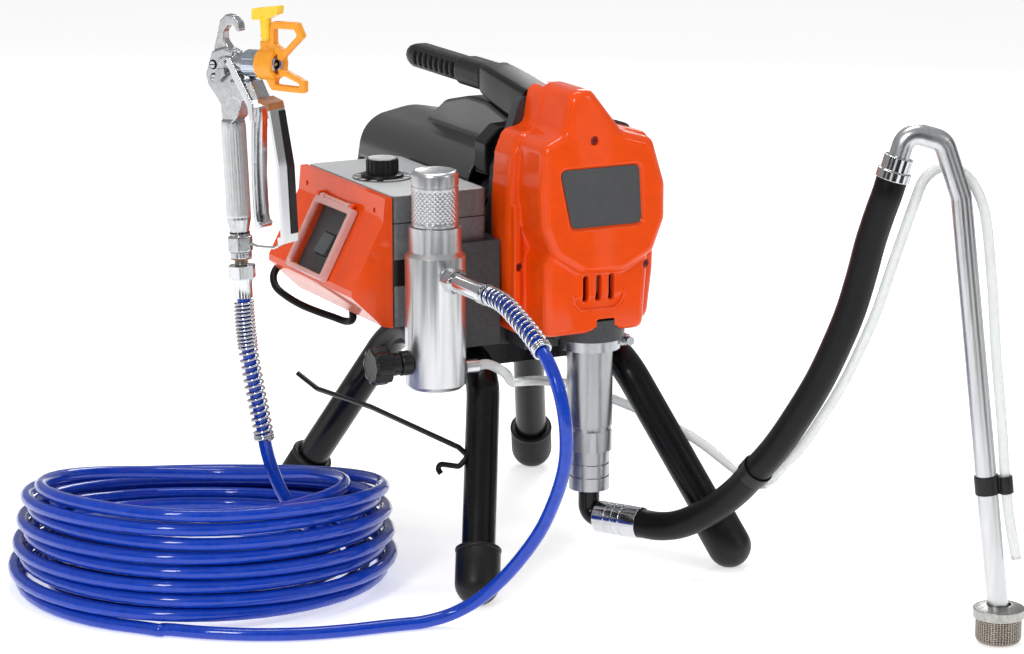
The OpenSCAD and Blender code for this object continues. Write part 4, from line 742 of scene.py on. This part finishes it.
VENTS = (-20, -7, 6)
SCREWS = ((-16, 394.5, -33), (42, 276.5, -24), (-68, 277, 12))     # x, z and the depth of the hole's floor
label_recess = [(-39.5, 314.5), (34.5, 314.5), (31.5, 371.5), (-51.5, 371.5)]
vent_recess = [(-32, 244), (-27, 239.5), (13, 239.5), (19, 245), (19, 252), (-32, 252)]
cover = carve(
    "front_cover_moulding", upright(seat, [(45, 0), (17, 0), (13.5, 0.7), (11, 2.2), (9.5, 4.2), (9, 6)], 10),
    [upright(lobe, [(20, 0), (-29, 0), (-32.6, 0.8), (-35.4, 2.5), (-37.3, 4.7), (-38, 6.6)], 10),
     upright(skirt, [(20, 0), (-22.5, 0), (-26, 0.9), (-28.4, 2.6), (-29.7, 4.4), (-30, 6)], 7),
     upright(lug(-70.5, 238, 334, 8), [(14, 0), (6, 0.2), (5, 1.4)], 3.6)],
    [upright(seat, [(46, 6), (16, 6)], 7), upright(lobe, [(46, 4), (-29, 4)], 7),
     upright(skirt, [(46, 4), (-21, 4)], 5)]
    + [upright(lug(x, 247, 271, 6), [(2, 0), (-39, 0)], 2.6) for x in VENTS]
    + [upright(vent_recess, [(-29, 0), (-32, 0)], 2),
       upright(label_recess, [(-35, 0.8), (-36.4, 0.8), (-36.6, 0), (-39, 0)], 6),
       drum((0, 0, 190), (0, 0, 1), 31.3, 40), box_skin((-36.3, 0, 190), (36.3, 46, 228.3))]
    + [drum((x, -50, z), (0, 1, 0), 4, y + 50) for x, z, y in SCREWS])
remesh(cover, 1.0, 4)
settle(cover, "orange", "orange", "frame", ("front_cover",))

# ---------- carrying handle ----------
# the neck's stations along Y, each with its underside and half its width, and then their tops
neck = [(46.5, 396, 16.4), (60, 397.5, 16.4), (84, 401.5, 16.4), (120, 408.5, 15.8), (134, 412, 15.2),
        (138, 413, 14.6)]
tops = [430, 431.5, 435, 439.5, 440.8, 440.4]
neck_rings = [[(MID_X + q[0], y, q[1]) for q in outline(box_corners(-w, w, low, high), 5, 5)]
              for (y, low, w), high in zip(neck, tops)]
loft("handle_neck_moulding", neck_rings, "black_plastic", nodes=("handle_neck",), edge=1.2)

# painted shade: near-black pieces in the grip's finger slots, where the rubber lies in shade
GRIP_SLOTS, SLOT_START, SLOT_PITCH = 8, 198, 11.5
SLOT_HALF, SLOT_LOW, SLOT_HIGH, SLOT_OUT = 3.1, 420.4, 433.6, (11.2, 12.0)
for side in (-1, 1):
    for j in range(GRIP_SLOTS):
        y = SLOT_START + SLOT_PITCH * j
        mouth = outline(box_corners(y - SLOT_HALF, y + SLOT_HALF, SLOT_LOW, SLOT_HIGH), 1.2, 3)
        rings = [[(MID_X + side * x, u, v) for u, v in mouth] for x in SLOT_OUT]
        loft(f"grip_slot_shade_{side + 1}_{j}", rings, "slot_black", "grip_rubber")
# the lip under the cover's vents
lip_turns = ((-34, 256), (-31, 246), (-25, 239.5), (9, 239.5), (16, 245), (19, 256))
strand("vent_lip", rounded([[x, -29.9, z] for x, z in lip_turns], 4, 6), 1.15, "orange", rings=4)

# ---------- filter cap, knurled ----------
CAP_AT = (-155, 0, 324.1)
UP = (0, 0, 1)


def knurl(a, h):
    """Crossed ridges of the knurl, which run out at both ends."""
    rise = smooth((h - 3) / 1.5) * smooth((34.5 - h) / 1.5)
    u, v = 14 * a / math.pi, h / 4.4
    ridges = [abs(2 * ((w % 1) - 0.5)) for w in (u + v, u - v)]
    return -0.5 * rise * (1 - min(ridges))


knurled = [(21, 1 + 0.44 * j) for j in range(78)]
cap_profile = ([(8, -12), (12.9, -12), (12.9, 0), (20.4, 0), (21, 0.6)] + knurled
               + [(21, 36), (20.3, 36.3), (20.3, 37), (21, 37.3), (21, 46), (20.6, 47.6), (19.4, 49),
                  (17.6, 49.7), (16.8, 49.2), (0, 49.2)])
lathe("filter_cap_knurled", cap_profile, CAP_AT, UP, "satin_steel", "polished", nodes=("filter_cap",),
      sides=336, ripple=knurl)

# ---------- woven strainer cup ----------
WIRE_R, WIRES, HOOP_PITCH, CUP_R = 0.5, 48, 1.6, 19.0


def upright_wires():
    """Wires that run down the cup's side, round its edge and across its floor, woven past the hoops."""
    wires = []
    for j in range(WIRES):
        a = 2 * math.pi * j / WIRES
        side = [(CUP_R + 0.25 * (-1) ** (j + k), 25 - HOOP_PITCH * k) for k in range(13)]
        bend = [(CUP_R - 5.0 * (1 - math.cos(t)) + 0.1, 5.8 - 4.9 * math.sin(t))
                for t in np.linspace(0.2, 1.4, 5)]
        floor_run = [(r, 0.85) for r in np.linspace(13.6, 3 if j % 4 == 0 else 8, 4)]
        wires.append([(CUP[0] + r * math.cos(a), CUP[1] + r * math.sin(a), h)
                      for r, h in side + bend + floor_run])
    return wires


def woven(name, wires, nodes=(), closed=False):
    """Many thin wires in one mesh."""
    sides = 5
    verts, faces = [], []
    for wire in wires:
        wire = [np.asarray(p, float) for p in wire]
        first = len(verts)
        n = len(wire)
        for i, p in enumerate(wire):
            ahead = wire[(i + 1) % n] if closed or i < n - 1 else p
            behind = wire[i - 1] if closed or i > 0 else p
            x, y, _ = axes(ahead - behind)
            verts += circle(p, x, y, WIRE_R, sides)
        for i in range(n if closed else n - 1):
            a, b = first + i * sides, first + ((i + 1) % n) * sides
            faces += [(a + k, a + (k + 1) % sides, b + (k + 1) % sides, b + k) for k in range(sides)]
        if not closed:
            faces += [tuple(range(first, first + sides)),
                      tuple(range(first + (n - 1) * sides, first + n * sides))]
    return mesh_piece(name, verts, faces, "mesh", nodes=nodes, smooth_to=80)


def wavy_hoops(radii_heights, steps=64):
    """Hoops round the cup that wave in and out past the upright wires."""
    hoops = []
    for j, (r, h) in enumerate(radii_heights):
        ring = [(r + 0.22 * (-1) ** (k + j), 2 * math.pi * k / steps) for k in range(steps)]
        hoops.append([(CUP[0] + q * math.cos(a), CUP[1] + q * math.sin(a), h) for q, a in ring])
    return hoops


woven("strainer_wires", upright_wires(), ("strainer_mesh",))
side_hoops = [(19.1, 24 - HOOP_PITCH * j) for j in range(12)]
floor_hoops = [(18.6, 4.2), (17.2, 2.4), (15.2, 1.2), (12.5, 0.8), (9.6, 0.8), (6.6, 0.8), (3.6, 0.8)]
woven("strainer_hoops", wavy_hoops(side_hoops + floor_hoops), closed=True)
lathe("strainer_lining", [(0, 2.2), (13.5, 2.2), (17.4, 4.6), (18.2, 7), (18.2, 24.5)], (*CUP, 0), UP,
      "mesh_dark", "mesh", sides=64)

# ---------- strap that holds the drain tube to the pipe ----------
STRAP_Z = 139
tube_at = np.array([192, -383, float(STRAP_Z)])
pipe_at = in_plane(-13.5, STRAP_Z)
strap_way = unit([-0.103, 0.053, 1])
strap_section = [(4.7, -7.5), (6.2, -7.5), (6.5, -7.0), (6.5, 7.0), (6.2, 7.5), (4.7, 7.5), (4.7, -7.5)]
lathe("tube_strap", strap_section, tube_at, strap_way, "black_plastic", sides=48, edge=0.3)
mid = (tube_at + pipe_at) / 2
side_way = unit(tube_at - pipe_at)
back_way = np.cross(strap_way, side_way)
bridge = [[mid + side_way * u + back_way * v + strap_way * h
           for u, v in outline(box_corners(-1.6, 3.4, -4.2, 4.2), 0.8, 2)] for h in (-7.2, 7.2)]
loft("strap_bridge", bridge, "black_plastic")


# ---------- gun ----------
GUN_AT = np.array([-323.5, 42.6, 337.7])
lean, yaw = math.radians(-3), math.radians(-62)
turn_y = np.array([[math.cos(lean), 0, math.sin(lean)], [0, 1, 0], [-math.sin(lean), 0, math.cos(lean)]])
turn_z = np.array([[math.cos(yaw), -math.sin(yaw), 0], [math.sin(yaw), math.cos(yaw), 0], [0, 0, 1]])
GUN_TURN = turn_z @ turn_y


def at_gun(p):
    """Point of the gun, measured from the foot of its handle, in the machine's frame."""
    return GUN_AT + GUN_TURN @ np.asarray(p, float)


strip = [(47.4, 97), (50.2, 97), (57.2, 49), (57.3, -10), (54.0, -10), (53.9, 49)]
loft("guard_grip_strip", [[at_gun((x, y, z)) for x, z in outline(strip, 0.8, 2)] for y in (1.2, 10.4)],
     "black_plastic", body="gun", edge=0.5)
pad = [(37, 104.5), (45.8, 101.9), (46.8, 97.5), (49.9, 98.2), (48.3, 104.4), (37, 108.6)]
loft("guard_pad", [[at_gun((x, y, z)) for x, z in outline(pad, 0.5, 2)] for y in (-10.4, 10.4)], "brown",
     "black_plastic", body="gun", edge=0.4)

# the trigger's middle line in the gun's plane, from the top down, and its section
trigger_line = [(29.6, 99), (29.7, 93), (29.4, 86), (28.2, 72), (26.9, 55), (26.0, 40), (25.7, 20), (25.8, 6),
                (26.6, 0.5), (28.6, -3.0)]
shell = [(-8.9, 1.3), (-9.0, -0.6), (-7.9, -2.6), (-6.2, -2.7), (-4.6, -1.5), (0, -1.1), (4.6, -1.5),
         (6.2, -2.7), (7.9, -2.6), (9.0, -0.6), (8.9, 1.3), (6.4, 2.6), (0, 3.0), (-6.4, 2.6)]
sections = []
last = len(trigger_line) - 1
for i, (x, z) in enumerate(trigger_line):
    ahead, behind = trigger_line[min(i + 1, last)], trigger_line[max(i - 1, 0)]
    t = unit([ahead[0] - behind[0], 0, ahead[1] - behind[1]])
    out = np.array([-t[2], 0, t[0]])
    narrow = 0.82 if i in (0, last) else 1.0
    sections.append([at_gun(np.array([x, 0, z]) + out * v * narrow + np.array([0, u * narrow, 0]))
                     for u, v in outline(shell, 0.9, 3)])
loft("trigger_face", sections, "polished", body="trigger", smooth_to=50)
neck_thread = [(5.4, -52)] + [(5.5 + 0.75 * (j % 2), -51.5 + 0.9 * j) for j in range(20)] + [(5.4, -34)]
gun_front, gun_side, gun_way = (GUN_TURN @ np.array(axis) for axis in ([1.0, 0, 0], [0, 1.0, 0], [0, 0, 1.0]))
lathe("gun_neck_thread", neck_thread, GUN_AT, gun_way, "zinc", "steel", body="gun", sides=64)
NECK_RINGS = (                          # low end, high end, radius, look and slot
    (-12.4, -11.0, 9.0, "satin_black", "black_plastic"), (-28.9, -27.9, 9.9, "satin_black", "black_plastic"),
    (-16.6, -15.3, 9.5, "brass", "steel"), (-35.2, -34.0, 9.3, "brass", "steel"))
for j, (low, high, r, look, slot) in enumerate(NECK_RINGS):
    section = [(5, low), (r - 0.3, low), (r, low + 0.4), (r, high - 0.4), (r - 0.3, high), (5, high)]
    lathe(f"gun_neck_ring_{j}", section, GUN_AT, gun_way, look, slot, body="gun", sides=64)


def flutes(a, h):
    """Grooves along the gun's handle, which run out at both ends."""
    return -0.3 * (0.5 - 0.5 * math.cos(26 * a)) * smooth((h - 6) / 4) * smooth((81 - h) / 4)


lathe("gun_handle_sleeve", [(9.6, 1.5), (10.4, 2.0), (10.75, 3.0)] + [(10.75, 4 + 2 * j) for j in range(40)]
      + [(10.6, 84.5), (9.8, 85.2)], GUN_AT, gun_way, "bright_alu", "aluminium", body="gun", sides=240,
      ripple=flutes)
# polished screw heads; the dark ring round each head and the dark line across it are painted shade, in the
# recess round the head and in its slot
for j, (x, z) in enumerate(((-12.5, 135.5), (-12, 124))):
    screw_at = at_gun((x, -7.6, z))
    lathe(f"gun_screw_{j}", [(0, 1.5), (2.6, 1.5), (3.1, 0.9), (3.1, -1), (0, -1)], screw_at, -gun_side,
          "polished", body="gun", sides=40)
    lathe(f"gun_screw_recess_shade_{j}", [(2.9, 0.25), (4.1, 0.25), (4.3, 0), (4.3, -0.6), (2.9, -0.6)],
          screw_at, -gun_side, "slot_black", "black_plastic", body="gun", sides=40)
    loft(f"gun_screw_slot_shade_{j}", [[at_gun((u, v, z + w)) for v, w in box_corners(-9.25, -9.0, -0.45, 0.45)]
                                 for u in (x - 2.3, x + 2.3)], "satin_black", "black_plastic", body="gun")
tip_at = at_gun((43.5, 0, 137))
lathe("guard_seat_ring",
      [(4.2, 5.4), (6.9, 5.4), (7.6, 6.2), (7.6, 8.4), (6.6, 9.4), (5.2, 9.4), (4.2, 8.2), (4.2, 5.4)],
      tip_at, gun_front, "steel", body="guard", sides=64)
# painted shade: a near-black disc closes the seat ring's bore, which lies in shade
lathe("guard_bore_shade", [(0, 4.6), (4.3, 4.6), (4.3, 5.6), (0, 5.6)], tip_at, gun_front,
      "satin_black", "black_plastic", body="guard", sides=48)
lathe("tip_nozzle", [(0, 5.6), (1.9, 5.6), (1.9, 7.2), (1.2, 8), (0, 8)], tip_at, gun_front,
      "brass", "steel", body="tip", sides=32)

# ---------- dial under the pressure knob ----------
KNOB = np.array([-150, 120, 347.0])     # middle of the dial, on the top of the box
lathe("dial_face", [(15, 0), (26.6, 0), (26.9, 0.35), (26.6, 0.7), (15, 0.7)], KNOB, UP, "dial_white",
      "polished", sides=96)
lathe("dial_ring", [(26.2, 0.6), (27.0, 0.6), (27.0, 0.95), (26.2, 0.95), (26.2, 0.6)], KNOB, UP, "mark",
      "plate_grey", sides=96)
lathe("knob_collar", [(9, 0.9), (19.5, 0.9), (19.8, 1.3), (19.2, 3.4), (16.5, 4.4), (9, 4.4)], KNOB, UP,
      "black_plastic", body="knob", sides=72)
lathe("knob_top", [(0, 18.0), (11.6, 18.0), (12.4, 18.3), (12.6, 17.6), (12.6, 16.5), (0, 16.5)], KNOB, UP,
      "dial_white", "polished", body="knob", sides=72)

# ---------- control box ----------
SEAM_X, BOX_Y, BOX_Z, BOX_W, BOX_L = -182, 32, 228, 94, 183
BAND_LOW, BAND_HIGH, SEAM_LOW, SEAM_HIGH = 37.2, 60.8, 93.4, 94.4       # above the box's underside


def rim(name, corners, radius, z0, z1, out, inner):
    """Black band that runs round an upright box, from out outside its outline to inner inside it."""
    rings = [[(q[0], q[1], z) for q in outline(drawn_in(corners, d), radius, 4)]
             for d, z in ((-out, z0), (-out, z1), (inner, z1), (inner, z0))]
    return mesh_piece(name, *loop_skin(rings), "black_plastic")


plan = box_corners(SEAM_X, SEAM_X + BOX_W, BOX_Y, BOX_Y + BOX_L)
rim("box_dark_band", plan, 5, BOX_Z + BAND_LOW, BOX_Z + BAND_HIGH, -0.9, 2.4)
rim("box_seam", plan, 6, BOX_Z + SEAM_LOW, BOX_Z + SEAM_HIGH, 0.15, 0.5)
loft("box_top_plate", [[(q[0], q[1], z) for q in outline(drawn_in(plan, d), 6, 5)]
                       for z, d in ((346.0, 1.6), (346.55, 1.6), (346.8, 1.9))], "dial_white", "polished")

# ---------- window flap ----------
SLOPE_RUN, SLOPE_RISE = 31, 59          # of the wedge's sloping face, from its lower edge up to its upper one
SLOPE_AT = np.array([SEAM_X - 40 + 0.5 * SLOPE_RUN, BOX_Y + BOX_L / 2, BOX_Z + 37 + 0.5 * SLOPE_RISE])
tilt = math.radians(-62.3)


def on_slope(x, y, z):
    """Point x up the sloping face, y along it and z out of it, from its middle."""
    c, s = math.cos(tilt), math.sin(tilt)
    return SLOPE_AT + np.array([x * c + z * s, y, -x * s + z * c])


def flap_ring(corners, radius, z):
    return [on_slope(q[0], q[1], z) for q in outline(corners, radius, 5)]


# the frame's section runs up outside, over the top and down inside
outer, inner = box_corners(-36, 35, -41, 41), box_corners(-31, 28, -34, 36.5)
FRAME_R, FRAME_ROUND, FRAME_MID, FRAME_TOP = 4, 0.9, 5.6, 7.0
frame_rings = [flap_ring(outer, FRAME_R, 1.0), flap_ring(outer, FRAME_R, FRAME_MID),
               flap_ring(drawn_in(outer, FRAME_ROUND), FRAME_R, FRAME_TOP),
               flap_ring(drawn_in(inner, -FRAME_ROUND), FRAME_R * 0.6, FRAME_TOP),
               flap_ring(inner, FRAME_R * 0.6, FRAME_MID), flap_ring(inner, FRAME_R * 0.6, 2.6)]
mesh_piece("window_frame", *loop_skin(frame_rings), "window_red", "window_red", "flap", ("box_window",), 40)
loft("window_pane", [flap_ring(box_corners(-33, 33, -38, 38), 3, z) for z in (3.6, 4.6)], "clear_pane",
     "window_red", body="flap")
ear = [(30, 2.0), (35, 2.0), (37.8, 2.8), (38.4, 5.2), (36.5, 8.2), (30, 6.8)]
EAR_SIDE, EAR_HALF, PIN_AT, PIN_R, PIN_HALF = 27.5, 3.6, (36, 4.2), 1.9, 33.5
for side in (-1, 1):
    loft(f"window_ear_{side + 2}", [[on_slope(q[0], y, q[1]) for q in outline(ear, 1.2, 3)]
                                    for y in (side * EAR_SIDE - EAR_HALF, side * EAR_SIDE + EAR_HALF)],
         "window_red", body="flap", edge=0.5)
pin_round = circle(np.array(PIN_AT), np.array([1, 0]), np.array([0, 1]), PIN_R, 24)
loft("window_pin", [[on_slope(x, y, z) for x, z in pin_round] for y in (-PIN_HALF, PIN_HALF)], "window_red",
     body="flap")

# ---------- drain valve ----------
VALVE_Z, VALVE_WAY = 203, (-1, 0, 0)
lathe("valve_collar", [(8.2, -0.4), (10.6, -0.4), (11, 0), (11, 8.6), (10.4, 9.6), (8.2, 9.6)],
      (-181.5, 0, VALVE_Z), VALVE_WAY, "black_plastic", sides=64, edge=0.4)


def lobes(a, h):
    """The knob's eight lobes, shallower on its face."""
    return 1.1 * math.cos(8 * a) * smooth((h - 8.5) / 3) if h < 26.5 else 0.6 * math.cos(8 * a)


lathe("valve_knob", [(4.1, 0), (9.6, 0), (10.2, 0.6), (10.6, 8), (15.4, 10), (16.2, 11.4), (16.4, 17),
                     (16.2, 24), (15.2, 26), (13.4, 26.6), (11, 26.2), (0, 25.8)], (-192.3, 0, VALVE_Z),
      VALVE_WAY, "black_plastic", body="valve", nodes=("prime_knob",), sides=144, edge=0.5, ripple=lobes)

# ---------- dial marks, each wider than the one before ----------
DIAL_MARKS, MARK_START, MARK_STEP = 11, -60, 30
for j in range(DIAL_MARKS):
    a = math.radians(MARK_START + MARK_STEP * j)
    u, v = np.array([math.cos(a), math.sin(a), 0]), np.array([-math.sin(a), math.cos(a), 0])
    w = 0.35 + 0.26 * j
    corners = box_corners(20, 25, -w, w)
    rings = [[KNOB + u * r + v * t + np.array([0, 0, h]) for r, t in corners] for h in (0.4, 0.95)]
    loft(f"dial_mark_{j}", rings, "mark", "polished")

# ---------- solids inside, which only need their material ----------
for node in ("rotor", "crank_gear", "shaft_bearings", "connecting_rod", "check_ball", "filter_screen"):
    NODES[node].data.materials.clear()
    NODES[node].data.materials.append(LOOKS["steel"])


# ---------- studio ----------
def sheet_at(name, size, at, turn):
    mesh = bpy.data.meshes.new(name)
    w, h = size[0] / 2, size[1] / 2
    mesh.from_pydata([(x, y, 0) for x, y in box_corners(-w, w, -h, h)], [], [(0, 1, 2, 3)])
    piece = bpy.data.objects.new(name, mesh)
    piece.location, piece.rotation_euler = at, turn
    scene.collection.objects.link(piece)
    return piece


floor = sheet_at("studio_floor", (40, 40), (0, 0, -0.0005), (0, 0, 0))
floor.data.materials.append(LOOKS["floor"])

sky = bpy.data.worlds.new("studio")
sky.use_nodes = True
scene.world = sky
back = sky.node_tree.nodes["Background"]
place = sky.node_tree.nodes.new("ShaderNodeTexCoord")
split = sky.node_tree.nodes.new("ShaderNodeSeparateXYZ")
ramp = sky.node_tree.nodes.new("ShaderNodeValToRGB")
sky.node_tree.links.new(place.outputs["Generated"], split.inputs["Vector"])
sky.node_tree.links.new(split.outputs["Z"], ramp.inputs["Fac"])
sky.node_tree.links.new(ramp.outputs["Color"], back.inputs["Color"])
stops = ramp.color_ramp.elements
SKY_BLUE, SKY_POWER = 1.01, 0.34        # how much stronger its blue is, and its light
stops[0].color, stops[-1].color = (0.9, 0.9, 0.9 * SKY_BLUE, 1), (1.2, 1.2, 1.2 * SKY_BLUE, 1)
for position, value in ((0.25, 1.0), (0.5, 1.1)):
    stops.new(position).color = (value, value, value * SKY_BLUE, 1)
back.inputs["Strength"].default_value = SKY_POWER

LIT_AT = Vector((-0.05, 0.0, 0.25))


def lamp(name, at, size, power):
    data = bpy.data.lights.new(name, "AREA")
    data.shape = "RECTANGLE"
    data.size, data.size_y = size
    data.energy = power
    light = bpy.data.objects.new(name, data)
    light.location = at
    light.rotation_euler = (LIT_AT - Vector(at)).to_track_quat("-Z", "Y").to_euler()
    scene.collection.objects.link(light)


# dark cards round the front, seen only as streaks in the gloss
CARD_FAR, CARD_TALL, CARD_Z = 0.95, 0.75, 0.4
for azimuth, width in ((-75, 0.3), (-42, 0.34), (-8, 0.42), (28, 0.34), (60, 0.3)):
    a = math.radians(azimuth)
    card = sheet_at(f"studio_card_{azimuth + 100}", (width, CARD_TALL),
                    (CARD_FAR * math.sin(a), -CARD_FAR * math.cos(a), CARD_Z), (math.pi / 2, 0, a))
    card.data.materials.append(LOOKS["card"])
    card.visible_camera = card.visible_diffuse = card.visible_shadow = card.visible_transmission = False
lamp("key", (-2.2, -1.6, 1.9), (0.5, 1.1), 32)
lamp("fill", (1.6, -2.2, 1.3), (0.35, 1.3), 11)
lamp("top", (0.0, 0.3, 2.4), (1.4, 0.4), 18)
lamp("rim", (1.4, 1.8, 1.5), (0.6, 0.8), 12)
